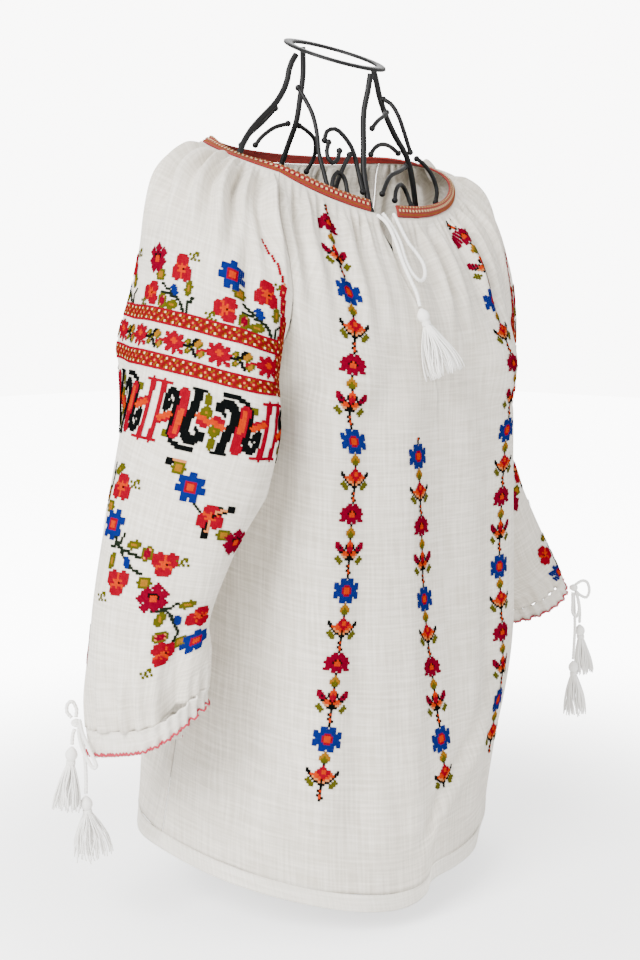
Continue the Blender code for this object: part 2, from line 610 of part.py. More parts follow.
def build_form():
    iron = new_material("black wire", (0.012, 0.012, 0.013), 0.35, 0.2)
    strip_ring_object("neck_ring", NECK_RING_CENTRE, NECK_RING_RADIUS, NECK_RING_RADIUS,
                      NECK_RING_WIDTH, NECK_RING_HEIGHT, NECK_TILT, iron, 32)
    strip_ring_object("foot_ring", FOOT_RING_CENTRE, FOOT_RING_RADIUS, FOOT_RING_RADIUS,
                      FOOT_RING_WIDTH, FOOT_RING_HEIGHT, 0.0, iron)
    for name, route in STAYS.items():
        tube_object(name, smooth_route([Vector(p) for p in route], 0.028), WIRE_RADIUS, 6, iron)
    for name, (half_width, mid_y, half_depth, height, rise) in TORSO_RINGS.items():
        ring = []
        for k in range(36):
            angle = 2 * math.pi * k / 36
            along = half_depth * math.sin(angle)
            ring.append(Vector((half_width * math.cos(angle), mid_y + along, height + rise * along)))
        tube_object(name, ring, FINE_WIRE_RADIUS, 6, iron, closed=True)

    for name, route in SCROLLS.items():
        points = [neck_point(*place) for place in route]
        tube_object(name, smooth_route(points, 0.011), FINE_WIRE_RADIUS, 6, iron)


def build_cords():
    """The neck tie and the two cuff ties: cords, bow knots and tassels, each just clear of the next."""
    white = new_material("white cotton cord", (0.87, 0.86, 0.82), 0.85)
    for name, route in CORDS.items():
        tube_object(name, smooth_route([Vector(p) for p in route], CORD_RADIUS * 5), CORD_RADIUS, 8, white)
    for name, (centre, radius) in KNOTS.items():
        up = Vector((0, 0, radius))
        lathe_object(name, Vector(centre) + up, Vector(centre) - up, knot_profile(radius), white)
    for name, (top, bottom, flare) in TASSELS.items():
        lathe_object(name, Vector(top), Vector(bottom), tassel_profile(flare), white)


def settle_on_origin(objects):
    """Moves everything so that the middle of the model's footprint, cords left out, is at the origin."""
    for each in objects:
        each.data.transform(Matrix.Translation((-MIDDLE_X, -MIDDLE_Y, 0)))


def main():
    for old in list(bpy.data.objects):
        bpy.data.objects.remove(old, do_unlink=True)
    build_cloth()
    build_form()
    build_cords()
    settle_on_origin(bpy.context.scene.objects)


main()
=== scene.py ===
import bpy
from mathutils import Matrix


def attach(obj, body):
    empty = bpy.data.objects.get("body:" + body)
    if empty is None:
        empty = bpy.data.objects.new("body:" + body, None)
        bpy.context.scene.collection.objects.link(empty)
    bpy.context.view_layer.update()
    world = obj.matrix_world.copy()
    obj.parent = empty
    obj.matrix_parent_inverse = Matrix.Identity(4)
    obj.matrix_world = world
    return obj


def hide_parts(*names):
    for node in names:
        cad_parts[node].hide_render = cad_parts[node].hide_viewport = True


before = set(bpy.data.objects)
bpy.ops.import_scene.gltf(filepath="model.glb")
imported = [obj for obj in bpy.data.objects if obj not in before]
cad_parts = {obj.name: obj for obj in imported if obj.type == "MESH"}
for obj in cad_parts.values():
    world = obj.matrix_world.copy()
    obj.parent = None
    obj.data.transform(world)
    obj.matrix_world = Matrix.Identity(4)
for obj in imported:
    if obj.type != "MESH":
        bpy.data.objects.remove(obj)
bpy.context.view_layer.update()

import math

import bmesh
import bpy
import numpy as np
from mathutils import Matrix, Vector

scene = bpy.context.scene
middle = np.array([0.0163, -0.0172, 0.0])  # the tables below are measured from here


# shader nodes
def addNode(tree, kind, values=None, links=None, **settings):
    # a node with its input values and the sockets that feed it; gives its outputs
    made = tree.nodes.new("ShaderNode" + kind)
    for key, value in settings.items():
        setattr(made, key, value)
    for key, value in (values or {}).items():
        made.inputs[key].default_value = value
    for key, socket in (links or {}).items():
        tree.links.new(socket, made.inputs[key])
    return made.outputs


def mathNode(tree, operation, *values):
    numbers = {n: value for n, value in enumerate(values) if isinstance(value, (int, float))}
    sockets = {n: value for n, value in enumerate(values) if n not in numbers}
    return addNode(tree, "Math", numbers, sockets, operation=operation)[0]


def newMaterial(name, colour, roughness, values=None):
    material = bpy.data.materials.new(name)
    material.use_nodes = True
    shader = material.node_tree.nodes["Principled BSDF"]
    for key, value in {"Base Color": (*colour, 1), "Roughness": roughness, **(values or {})}.items():
        shader.inputs[key].default_value = value
    material.diffuse_color = (*colour, 1)
    return material, material.node_tree, shader


def grain(tree, scale, values=None):
    place = addNode(tree, "TexCoord")["Object"]
    return addNode(tree, "TexNoise", {"Scale": scale, **(values or {})}, {"Vector": place})["Fac"]


def bumped(tree, shader, height, strength, distance):
    made = addNode(tree, "Bump", {"Strength": strength, "Distance": distance}, {"Height": height})
    tree.links.new(made["Normal"], shader.inputs["Normal"])


def weaveGroup():
    # plain weave: warp and weft threads of uneven thickness, in cloth metres
    tree = bpy.data.node_groups.new("plainWeave", "ShaderNodeTree")
    for name, way, kind in (("Place", "INPUT", "Vector"), ("Threads per metre", "INPUT", "Float"),
                            ("Height", "OUTPUT", "Float"), ("Shade", "OUTPUT", "Float")):
        tree.interface.new_socket(name=name, in_out=way, socket_type="NodeSocket" + kind)
    start = tree.nodes.new("NodeGroupInput").outputs
    end = tree.nodes.new("NodeGroupOutput").inputs
    split = addNode(tree, "SeparateXYZ", links={0: start["Place"]})

    def streaks(axis, fine, coarse, detail, shift=(0, 0, 0)):
        squeeze = {"Scale": (coarse, fine, 1) if axis else (fine, coarse, 1), "Location": shift}
        place = addNode(tree, "Mapping", squeeze, {"Vector": start["Place"]})["Vector"]
        return addNode(tree, "TexNoise", {"Scale": 1.0, "Detail": detail}, {"Vector": place})["Fac"]

    heights, slubs = [], []
    for axis in (0, 1):
        uneven = streaks(axis, 1100, 90, 3.0)
        run = mathNode(tree, "MULTIPLY", split[axis], start["Threads per metre"])
        turns = mathNode(tree, "MULTIPLY", mathNode(tree, "MULTIPLY_ADD", uneven, 2.2, run), 2 * math.pi)
        wave = mathNode(tree, "MULTIPLY", mathNode(tree, "SINE", turns), 0.25)
        heights.append(mathNode(tree, "MULTIPLY_ADD", uneven, 0.5, wave))
        slub = streaks(axis, 420, 22, 2.0, (3.7, 9.1, 0))
        sharp = {"From Min": 0.38, "From Max": 0.68}
        slubs.append(addNode(tree, "MapRange", sharp, {"Value": slub})["Result"])
    tree.links.new(mathNode(tree, "ADD", *heights), end["Height"])
    tree.links.new(mathNode(tree, "MULTIPLY", mathNode(tree, "ADD", *slubs), 0.5), end["Shade"])
    return tree


weave = weaveGroup()


def wovenMaterial(name, pale, dark, threads, roughness, relief, values=None, slubbed=True, base=None):
    material, tree, shader = newMaterial(name, base or pale, roughness, values)
    place = addNode(tree, "UVMap", uv_map="cloth")["UV"]
    woven = addNode(tree, "Group", {"Threads per metre": threads}, {"Place": place}, node_tree=weave)
    # without slubs the colour follows the weave's height: painted shade in the low hollows between threads,
    # and uneven tone along thicker and thinner threads
    amount = woven["Height"]
    if slubbed:
        mottle = addNode(tree, "TexNoise", {"Scale": 14.0}, {"Vector": place})["Fac"]
        amount = mathNode(tree, "MULTIPLY_ADD", woven["Shade"], 0.85, mathNode(tree, "MULTIPLY", mottle, 0.3))
    mix = addNode(tree, "Mix", {"A": (*dark, 1), "B": (*pale, 1)}, {"Factor": amount}, data_type="RGBA")
    tree.links.new(mix["Result"], shader.inputs["Base Color"])
    bumped(tree, shader, woven["Height"], relief, 0.0004)
    return material


def smoothShade(mesh):
    mesh.polygons.foreach_set("use_smooth", [True] * len(mesh.polygons))


def meshOf(name, shape, material):
    mesh = bpy.data.meshes.new(name)
    shape.to_mesh(mesh)
    shape.free()
    mesh.materials.append(material)
    smoothShade(mesh)
    return mesh


def link(made, stands=()):
    scene.collection.objects.link(made)
    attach(made, "root")
    if stands:
        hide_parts(*stands)
    return made


# camera, lights and floor
view = {
    "place": (-1.0824, -1.0136, 0.5398),
    "azimuth": -46.0,  # degrees round from the front
    "elevation": 6.673,
    "lens": 60.09,
}
print("stage: camera")
lens = bpy.data.cameras.new("camera")
lens.lens = view["lens"]
lens.sensor_width = 36.0
lens.clip_start = 0.05
camera = bpy.data.objects.new("camera", lens)
scene.collection.objects.link(camera)
camera.location = view["place"]
camera.rotation_euler = (math.radians(90 - view["elevation"]), 0, math.radians(view["azimuth"]))
scene.camera = camera

print("stage: floor and lights")
studio = {"key": 190.0, "fill": 20.0, "rim": 32.0, "sky": 1.42, "backdrop": 9.0, "glow": 1.4}
floorMaterial, floorTree, floorShader = newMaterial(
    "pale floor", (0.93, 0.93, 0.93), 0.9, {"Emission Color": (1, 1, 1, 1)})
floorPlace = addNode(floorTree, "TexCoord")["Object"]
floorReach = addNode(floorTree, "VectorMath", links={0: floorPlace}, operation="LENGTH")["Value"]
floorGlow = {"From Min": 0.25, "From Max": 1.0, "To Min": studio["glow"], "To Max": studio["backdrop"]}
floorFade = addNode(
    floorTree, "MapRange", floorGlow, {"Value": floorReach}, interpolation_type="SMOOTHSTEP")["Result"]
floorSeen = mathNode(floorTree, "MULTIPLY", floorFade, addNode(floorTree, "LightPath")["Is Camera Ray"])
floorTree.links.new(floorSeen, floorShader.inputs["Emission Strength"])
floorShape = bmesh.new()
bmesh.ops.create_grid(floorShape, x_segments=2, y_segments=2, size=6.0)
floorData = bpy.data.meshes.new("floor")
floorShape.to_mesh(floorData)
floorShape.free()
floorData.materials.append(floorMaterial)
floor = bpy.data.objects.new("floor", floorData)
scene.collection.objects.link(floor)
scene.world = bpy.data.worlds.new("studio")
scene.world.use_nodes = True
skyTree = scene.world.node_tree
skyInputs = skyTree.nodes["Background"].inputs
skyInputs["Color"].default_value = (1.0, 0.99, 0.975, 1)
skySeen = {"Value": addNode(skyTree, "LightPath")["Is Camera Ray"]}
skyRange = addNode(skyTree, "MapRange", {"To Min": studio["sky"], "To Max": studio["backdrop"]}, skySeen)
skyTree.links.new(skyRange["Result"], skyInputs["Strength"])
for lightName, place, aim, power, size in (
        ("key", (-2.4, -0.5, 1.7), (0, 0, 0.4), studio["key"], 1.6),
        ("fill", (0.6, -2.4, 1.2), (0, 0, 0.4), studio["fill"], 1.8),
        ("rim", (1.4, 1.6, 1.9), (0, 0, 0.45), studio["rim"], 1.5)):
    lamp = bpy.data.lights.new(lightName, "AREA")
    lamp.energy = power
    lamp.size = size
    holder = bpy.data.objects.new(lightName, lamp)
    scene.collection.objects.link(holder)
    holder.location = place
    holder.rotation_euler = (Vector(aim) - Vector(place)).to_track_quat("-Z", "Y").to_euler()

# the rows of each cut piece: see the column names beside them
underarmRow = 7
panelColumns = ("midX", "midY", "midZ", "edgeX", "edgeY", "edgeZ", "turn", "square", "lean")
frontRows = (
    (0, -0.091, 0.615, 0.1115, -0.0535, 0.645, 58, 2, 0.03),
    (0, -0.104, 0.59, 0.122, -0.067, 0.625, 54, 2, 0.02), (0, -0.12, 0.562, 0.134, -0.085, 0.6, 52, 2.1, 0),
    (0, -0.134, 0.533, 0.1385, -0.1, 0.568, 52, 2.2, 0),
    (0, -0.141, 0.504, 0.14, -0.106, 0.535, 56, 2.5, 0), (0, -0.143, 0.477, 0.138, -0.096, 0.505, 66, 3, 0),
    (0, -0.144, 0.452, 0.1365, -0.065, 0.48, 80, 3.4, 0),
    (0, -0.144, 0.426, 0.135, -0.02, 0.462, 90, 3.6, 0), (0, -0.144, 0.356, 0.14, -0.01, 0.388, 90, 3.6, 0),
    (0, -0.146, 0.274, 0.15, -0.004, 0.306, 90, 3.2, 0.02),
    (-0.006, -0.153, 0.19, 0.162, 0, 0.224, 90, 2.6, 0.03),
    (-0.022, -0.164, 0.102, 0.176, 0.005, 0.138, 90, 2.1, 0.04),
    (-0.042, -0.173, 0.013, 0.19, 0.01, 0.049, 90, 1.8, 0.05),
)
backRows = (
    (0, 0.082, 0.672, 0.1115, 0.033, 0.675, 58, 2, 0.03),
    (0, 0.093, 0.652, 0.124, 0.045, 0.66, 54, 2, 0.02), (0, 0.102, 0.625, 0.137, 0.056, 0.638, 52, 2.1, 0),
    (0, 0.108, 0.595, 0.141, 0.062, 0.608, 52, 2.2, 0), (0, 0.111, 0.565, 0.1415, 0.062, 0.573, 56, 2.4, 0),
    (0, 0.112, 0.535, 0.139, 0.05, 0.536, 66, 2.6, 0), (0, 0.111, 0.508, 0.1365, 0.018, 0.498, 80, 2.8, 0),
    (0, 0.11, 0.482, 0.135, -0.02, 0.462, 90, 2.8, 0), (0, 0.108, 0.412, 0.14, -0.01, 0.388, 90, 2.8, 0),
    (0, 0.11, 0.328, 0.15, -0.004, 0.306, 90, 2.6, 0.02), (0, 0.118, 0.246, 0.162, 0, 0.224, 90, 2.3, 0.03),
    (0.004, 0.128, 0.16, 0.176, 0.005, 0.138, 90, 2.1, 0.04),
    (0.008, 0.138, 0.071, 0.19, 0.01, 0.049, 90, 2, 0.05),
)
sleeveColumns = ("x", "y", "z", "out", "along", "open", "riseX", "riseY")
rightSleeveRows = (
    (0, -0.016, 0.654, 0.123, 0.087, 30, 0, 0.33), (0.035, -0.016, 0.659, 0.11, 0.082, 42, 0, 0.33),
    (0.07, -0.018, 0.652, 0.096, 0.08, 58, 0, 0.33), (0.099, -0.022, 0.632, 0.08, 0.08, 74, 0, 0.33),
    (0.122, -0.028, 0.6, 0.069, 0.082, 92, 0, 0.33), (0.141, -0.037, 0.56, 0.06, 0.084, 115, 0.1, 0.33),
    (0.158, -0.045, 0.517, 0.057, 0.085, 145, 0.2, 0.32),
    (0.177, -0.05, 0.471, 0.056, 0.085, 180, 0.25, 0.3),
    (0.201, -0.048, 0.41, 0.052, 0.073, 180, 0.2, 0.28),
    (0.222, -0.042, 0.345, 0.047, 0.063, 180, 0.1, 0.2),
    (0.235, -0.036, 0.282, 0.044, 0.059, 180, 0.05, 0.08),
    (0.241, -0.036, 0.224, 0.043, 0.061, 180, 0, -0.08), (0.241, -0.036, 0.168, 0.04, 0.057, 180, 0, -0.22),
)
leftSleeveRows = (
    (0, -0.016, 0.66, 0.128, 0.087, 30, 0, 0.33), (0.035, -0.014, 0.661, 0.118, 0.084, 42, 0, 0.33),
    (0.07, -0.012, 0.658, 0.108, 0.084, 58, 0, 0.33), (0.1, -0.01, 0.637, 0.093, 0.084, 74, 0, 0.33),
    (0.125, -0.007, 0.603, 0.079, 0.084, 92, 0, 0.33), (0.144, -0.002, 0.562, 0.068, 0.082, 115, 0.1, 0.33),
    (0.16, 0.004, 0.518, 0.061, 0.08, 145, 0.2, 0.32), (0.176, 0.01, 0.474, 0.057, 0.077, 180, 0.3, 0.3),
    (0.194, 0.016, 0.424, 0.053, 0.073, 180, 0.35, 0.25),
    (0.214, 0.012, 0.374, 0.05, 0.069, 180, 0.4, 0.18), (0.236, 0.003, 0.325, 0.048, 0.066, 180, 0.45, 0.1),
    (0.258, -0.009, 0.279, 0.045, 0.062, 180, 0.5, 0), (0.275, -0.022, 0.24, 0.041, 0.058, 180, 0.5, -0.05),
)


def catmull(rows, t):
    last = len(rows) - 1
    k = min(max(int(t), 0), last - 1)
    f = t - k
    p0, p1, p2, p3 = (rows[min(max(n, 0), last)] for n in range(k - 1, k + 3))
    if k == 0:
        p0 = 2 * p1 - p2
    if k == last - 1:
        p3 = 2 * p2 - p1
    bend, twist = 2 * p0 - 5 * p1 + 4 * p2 - p3, 3 * p1 - p0 - 3 * p2 + p3
    return 0.5 * (2 * p1 + (p2 - p0) * f + bend * f * f + twist * f ** 3)


def rowValues(columns, rows, t):
    return dict(zip(columns, catmull(np.array(rows), t)))


def signedPower(value, power):
    return np.sign(value) * np.abs(value) ** power


def neckShift(t):
    return 0.010 * max(0.0, 1 - t / 3) ** 2


def panelRow(rows, t, samples=72):
    # one row of the front or the back, from the wearer's right edge to the left one
    r = rowValues(panelColumns, rows, t)
    if t > underarmRow:
        side = rowValues(panelColumns, rows[underarmRow:], t - underarmRow)
        r.update({key: side[key] for key in ("edgeX", "edgeY", "edgeZ")})
    power = 2 / r["square"]
    turn = math.radians(min(r["turn"], 90))
    angle = turn * signedPower(np.linspace(-1, 1, samples + 1), 1.8)
    across = signedPower(np.sin(angle), power) / signedPower(math.sin(turn), power)
    share = (1 - signedPower(np.cos(angle), power)) / (1 - signedPower(math.cos(turn), power))
    x = r["edgeX"] * across + r["midX"] * (1 - across * across)
    y = r["midY"] + (r["edgeY"] - r["midY"]) * share
    z = r["midZ"] + (r["edgeZ"] - r["midZ"]) * share - r["lean"] * x
    if rows is frontRows and t > 9:
        place = np.linspace(0, 1, samples + 1)
        z = z + 0.022 * ramp(np.array(t), 9.5, 12.0) * ramp(place, 0.30, 0.62) * (1 - ramp(place, 0.84, 1.0))
    return np.stack([x + neckShift(t), y, z], 1)


def sleeveRow(rows, side, t, samples=72):
    # one row of a sleeve, from the front edge over the outside to the back edge
    r = rowValues(sleeveColumns, rows, t)
    opening = math.radians(min(r["open"], 180))
    share = np.linspace(0, 1, samples + 1)
    angle = opening * (2 * share - 1)
    away = r["out"] * np.cos(angle)
    along = r["along"] * np.sin(angle)
    rise = r["riseX"] * (away - r["out"]) + r["riseY"] * along
    points = np.stack([side * (r["x"] + away) + neckShift(t), r["y"] + along, r["z"] + rise], 1)
    if t < underarmRow + 1:
        keep = min(max(underarmRow + 1 - t, 0.0), 1.0)
        end = 0 if side < 0 else -1
        frontMiss = (panelRow(frontRows, min(t, underarmRow), 2)[end] - points[0]) * keep
        backMiss = (panelRow(backRows, min(t, underarmRow), 2)[end] - points[-1]) * keep
        points += frontMiss * ((1 - share) ** 3)[:, None] + backMiss * (share ** 3)[:, None]
    if t > 4:
        below = max(0.0, min(1.0, 3 * (t - underarmRow)))
        inwards = np.maximum(below, np.minimum(1.0, 12 * fromEdge(share)))
        full = 0.1412 + 0.07 * np.maximum(0.0, 0.462 - points[:, 2])
        end = np.where(share < 0.5, side * points[0, 0], side * points[-1, 0])
        limit = end + (0.0020 + np.maximum(0.0, full - end) * inwards) * min(1.0, t - 4)
        points[:, 0] = side * np.maximum(limit, side * points[:, 0])
    if side < 0:
        points[:, 2] += 0.030 * ramp(np.array(t), 9.0, 12.0) * (1 - ramp(share, 0.16, 0.42))
    return points


def rowLength(points):
    return np.linalg.norm(np.diff(points, axis=0), axis=1).sum()


def marksAlong(line):
    return np.concatenate([[0], np.cumsum(np.linalg.norm(np.diff(line, axis=0), axis=1))])


def evenly(points, shares):
    # the points at these shares of the length of a line
    marks = marksAlong(points)
    return np.stack([np.interp(np.asarray(shares) * marks[-1], marks, points[:, k]) for k in range(3)], 1)


def slitShare(t):
    return 0.5 - 0.09 * max(0.0, min(1.0, 1 - (t - 2) / 4))


def waves(share, seed, count, low, high):
    # a sum of uneven waves along a row, about -1 to 1
    random = np.random.default_rng(seed)
    total = np.zeros_like(share)
    for _ in range(count):
        rate = random.uniform(low, high)
        total += np.sin(2 * np.pi * (rate * share + random.uniform()))
    return total / math.sqrt(count)


def bump(value, centre, width):
    return np.exp(-((value - centre) / width) ** 2)


def ramp(value, start, end):
    f = np.clip((value - start) / (end - start), 0, 1)
    return f * f * (3 - 2 * f)


def fromEdge(share):
    return np.minimum(share, 1 - share)


def norms(vectors):
    return np.linalg.norm(vectors, axis=-1, keepdims=True)


def gridNormals(points, flip):
    across = np.gradient(points, axis=1)
    down = np.gradient(points, axis=0)
    normals = np.cross(down, across)
    normals /= norms(normals) + 1e-12
    return -normals if flip else normals


def makeSurface(rowAt, rowRange, shareList, rowCount, relief, flip):
    # a dense grid of cloth points, moved along the normal by relief(share, row)
    rowList = np.linspace(rowRange[0], rowRange[1], rowCount)
    shares = np.array([shareList(t) if callable(shareList) else shareList for t in rowList])
    points = np.array([evenly(rowAt(t), s) for t, s in zip(rowList, shares)])
    rows = np.repeat(rowList[:, None], points.shape[1], 1)
    normals = gridNormals(points, flip)
    points = points + normals * relief(shares, rows)[..., None]
    lengths = np.array([rowLength(line) for line in points])
    down = marksAlong(points[:, points.shape[1] // 2])
    return {
        "points": points, "normals": gridNormals(points, flip), "shares": shares, "rows": rowList,
        "lengths": lengths, "down": down,
    }


def pointAt(surface, share, row):
    # bilinear reading of a surface; share and row are arrays
    rowList = surface["rows"]
    r = np.clip((row - rowList[0]) / (rowList[-1] - rowList[0]) * (len(rowList) - 1), 0, len(rowList) - 1.001)
    i = r.astype(int)
    fi = (r - i)[..., None]
    shares = surface["shares"][i]
    count = shares.shape[-1]
    c = (shares <= share[..., None]).sum(-1) - 1
    c = np.clip(c, 0, count - 2)
    low = np.take_along_axis(shares, c[..., None], -1)[..., 0]
    high = np.take_along_axis(shares, c[..., None] + 1, -1)[..., 0]
    fc = np.clip((share - low) / np.maximum(high - low, 1e-9), 0, 1)[..., None]
    found = []
    for key in ("points", "normals"):
        grid = surface[key]
        top = grid[i, c] * (1 - fc) + grid[i, c + 1] * fc
        bottom = grid[i + 1, c] * (1 - fc) + grid[i + 1, c + 1] * fc
        found.append(top * (1 - fi) + bottom * fi)
    return found


def clothObject(name, surface, wall, material, stands, closedFrom=None, skip=None, flip=False):
    # a sheet made from a plain grid whose vertices are moved onto the surface
    points = surface["points"] - middle
    rowCount, columnCount = points.shape[:2]
    sheet = bmesh.new()
    bmesh.ops.create_grid(
        sheet, x_segments=columnCount - 1, y_segments=rowCount - 1, size=0.5, calc_uvs=False)
    uvLayer = sheet.loops.layers.uv.new("cloth")
    sheet.verts.ensure_lookup_table()
    places = {}
    for vert in sheet.verts:
        column = round((vert.co.x + 0.5) * (columnCount - 1))
        row = round((0.5 - vert.co.y) * (rowCount - 1))
        places[vert.index] = (row, column)
    for vert in sheet.verts:
        vert.co = points[places[vert.index]]
    for face in sheet.faces:
        for loop in face.loops:
            row, column = places[loop.vert.index]
            share = surface["shares"][row, column]
            loop[uvLayer].uv = ((share - 0.5) * surface["lengths"][row], -surface["down"][row])
    if skip:
        gone = [f for f in sheet.faces if skip(*np.mean([places[v.index] for v in f.verts], axis=0))]
        bmesh.ops.delete(sheet, geom=gone, context="FACES")
    if closedFrom is not None:
        ends = [v for v in sheet.verts
                if places[v.index][1] in (0, columnCount - 1) and places[v.index][0] >= closedFrom]
        bmesh.ops.remove_doubles(sheet, verts=ends, dist=0.0004)
    if flip:
        bmesh.ops.reverse_faces(sheet, faces=sheet.faces)
    made = bpy.data.objects.new(name, meshOf(name, sheet, material))
    thick = made.modifiers.new("wall", "SOLIDIFY")
    thick.thickness = wall
    thick.offset = -1
    return link(made, stands)


soft = {"Sheen Weight": 0.25, "Sheen Roughness": 0.6, "Specular IOR Level": 0.25}
gauze = wovenMaterial("slub cotton gauze", (0.8, 0.75, 0.665), (0.5, 0.455, 0.375), 1500.0, 0.88, 0.5, soft)
turnedGauze = wovenMaterial(
    "turned cotton hem", (0.84, 0.8, 0.725), (0.6, 0.56, 0.48), 1500.0, 0.88, 0.5, soft)

print("stage: cloth")
body = {
    "rows": 210, "columns": 190, "backColumns": 130,
    "wall": 0.0006,
    "bandRow": 0.42, "hemRow": 11.84, "lastRow": 12.0, "slitRow": 1.9, "slitHalf": 0.0085,
    "pleatDepth": 0.0020, "foldDepth": 0.0052,
}
sleeve = {
    "rows": 200, "columns": 170, "wall": 0.0006, "cuffRow": 11.62,
    "pleatDepth": 0.0020, "foldDepth": 0.0058,
}


def neckGathers(share, row, seed, pleats, depth, fold):
    fine = waves(share, seed, 5, pleats * 0.8, pleats * 1.25)
    fine = fine * ramp(row, 0.42, 0.8) * (1 - ramp(row, 1.0, 2.3))
    coarse = waves(share, seed + 1, 5, pleats * 0.25, pleats * 0.5)
    coarse = coarse * ramp(row, 0.5, 1.4) * (1 - ramp(row, 2.2, 4.6))
    return depth * fine + fold * coarse


def frontRelief(share, row):
    total = neckGathers(share, row, 11, 30, body["pleatDepth"], body["foldDepth"] * 0.7)
    total += 0.0030 * waves(share, 21, 4, 3, 7) * ramp(row, 3, 8) * (1 - 0.5 * ramp(row, 10, 12))
    total += 0.0012 * waves(share, 22, 5, 9, 16) * ramp(row, 6, 12)
    # the right half laps over the left one below the slit
    gap = share - 0.5 + 0.09 * (1 - np.clip((row - 2) / 4, 0, 1))
    lap = ramp(row, 1.2, 1.8) * (1 - ramp(row, 5.6, 7.2))
    total += lap * np.where(gap < 0, 0.0016 * np.exp(gap / 0.035), -0.0010 * np.exp(-gap / 0.03))
    # a long soft crease down to the low corner of the hem
    creaseShare = 0.66 - 0.24 * ramp(row, 10.0, 12.2) - 0.012 * (row - 10)
    total -= 0.0030 * bump(share, creaseShare - 0.03, 0.022) * ramp(row, 8.5, 10.0)
    total += 0.0045 * bump(share, creaseShare + 0.01, 0.030) * ramp(row, 8.5, 10.0)
    total *= 1 - 0.9 * ramp(row, 11.0, 11.84)
    total += 0.018 * bump(share, 0.83, 0.13) * ramp(row, 3.2, 5.6) * (1 - ramp(row, 9.5, 11.6))
    return total * ramp(fromEdge(share), 0.0, 0.04)


def backRelief(share, row):
    total = neckGathers(share, row, 31, 30, body["pleatDepth"], body["foldDepth"])
    total += 0.0030 * waves(share, 33, 4, 3, 8) * ramp(row, 3, 8)
    total *= 1 - 0.9 * ramp(row, 11.0, 11.84)
    return total * ramp(fromEdge(share), 0.0, 0.04)


def sleeveRelief(seed, troughs):
    def relief(share, row):
        total = neckGathers(share, row, seed, 20, sleeve["pleatDepth"], sleeve["foldDepth"])
        total += 0.0022 * waves(share, seed + 2, 4, 3, 7) * ramp(row, 4, 8)
        total += 0.0022 * waves(share, seed + 3, 5, 12, 24) * ramp(row, 10.3, 11.3)
        total += 0.0013 * waves(share, seed + 4, 4, 22, 34) * ramp(row, 10.9, 11.5)
        for centre, slope, width, depth, first, last in troughs:
            along = ramp(row, first, first + 1.2) * (1 - ramp(row, last - 1.5, last))
            total -= depth * bump(share, centre + slope * (row - first), width) * along
        return total * ramp(fromEdge(share), 0.0, 0.05)
    return relief


def slitColumns(t):
    # evenly spaced columns, with two of them on the sides of the slit
    half = body["columns"] // 2
    length = rowLength(panelRow(frontRows, t))
    trim = 0.0004 / length
    share = slitShare(t)
    opening = max(0.0, 1 - (t - body["bandRow"]) / (body["slitRow"] - body["bandRow"]))
    gap = (0.0004 + body["slitHalf"] * opening) / length
    return np.concatenate([np.linspace(trim, share - gap, half), np.linspace(share + gap, 1 - trim, half)])


frontSurface = makeSurface(
    lambda t: panelRow(frontRows, t, 200), (body["bandRow"], body["hemRow"]), slitColumns, body["rows"],
    frontRelief, False)
backSurface = makeSurface(
    lambda t: panelRow(backRows, t, 160), (body["bandRow"], body["hemRow"]),
    np.linspace(0.001, 0.999, body["backColumns"]), body["rows"] * 3 // 4, backRelief, True)
nearTroughs = (
    # centre share, drift a row, width, depth, first row, last row
    (0.16, 0.010, 0.032, 0.0115, 0.5, 5.6), (0.27, 0.004, 0.030, 0.0085, 0.5, 4.4),
    (0.40, 0.0, 0.03, 0.0045, 0.6, 4.0), (0.62, 0.0, 0.04, 0.0030, 0.8, 4.5),
    (0.30, 0.0, 0.035, 0.0100, 9.6, 13.5), (0.10, 0.01, 0.05, 0.0060, 7.5, 11.0),
)
farTroughs = (
    (0.16, 0.010, 0.030, 0.0060, 0.5, 5.0), (0.30, 0.004, 0.028, 0.0050, 0.5, 5.0),
    (0.5, 0.0, 0.03, 0.0030, 0.6, 4.0), (0.45, 0.0, 0.05, 0.0040, 9.0, 13.0),
)


def sleevePart(sideName, rowRange, columns, rowCount, relief):
    rows, side = (rightSleeveRows, -1) if sideName == "right" else (leftSleeveRows, 1)
    return makeSurface(
        lambda t: sleeveRow(rows, side, t, 160), rowRange, np.linspace(0, 1, columns), rowCount, relief,
        side < 0)


sleeveSurfaces = {
    sideName: sleevePart(sideName, (body["bandRow"], sleeve["cuffRow"]), sleeve["columns"], sleeve["rows"],
                         sleeveRelief(seed, troughs))
    for sideName, seed, troughs in (("right", 51, nearTroughs), ("left", 71, farTroughs))}

clothObject("blouseFront", frontSurface, body["wall"], gauze, ["front_panel"],
            skip=lambda row, column: abs(column - (body["columns"] // 2 - 0.5)) < 0.3
            and frontSurface["rows"][int(row)] < body["slitRow"])
clothObject("blouseBack", backSurface, body["wall"], gauze, ["back_panel"], flip=True)
for sideName, surface in sleeveSurfaces.items():
    closed = int(np.searchsorted(surface["rows"], underarmRow)) + 1
    clothObject(sideName + "Sleeve", surface, sleeve["wall"], gauze, ["sleeve_" + sideName],
                closedFrom=closed, flip=sideName == "right")

print("stage: neck band, hem and cuffs")
trims = {
    "bandEnd": 0.062, "bandColumns": 520, "bandOut": 0.0011, "bandWall": 0.0016, "bandDot": 0.0047,
    "hemColumns": 420, "hemOut": 0.0007, "hemWall": 0.0014,
    "cuffColumns": 260, "cuffOut": 0.0004, "cuffWall": 0.0014, "ruche": 0.0021, "zigzag": 0.0046,
}
# the red band is darker where its weave lies low: painted shade between the threads, with uneven thread tone
woven = wovenMaterial(
    "woven red band", (0.30, 0.011, 0.004), (0.12, 0.004, 0.002), 1700.0, 0.85, 0.6, slubbed=False,
    base=(0.34, 0.02, 0.008))


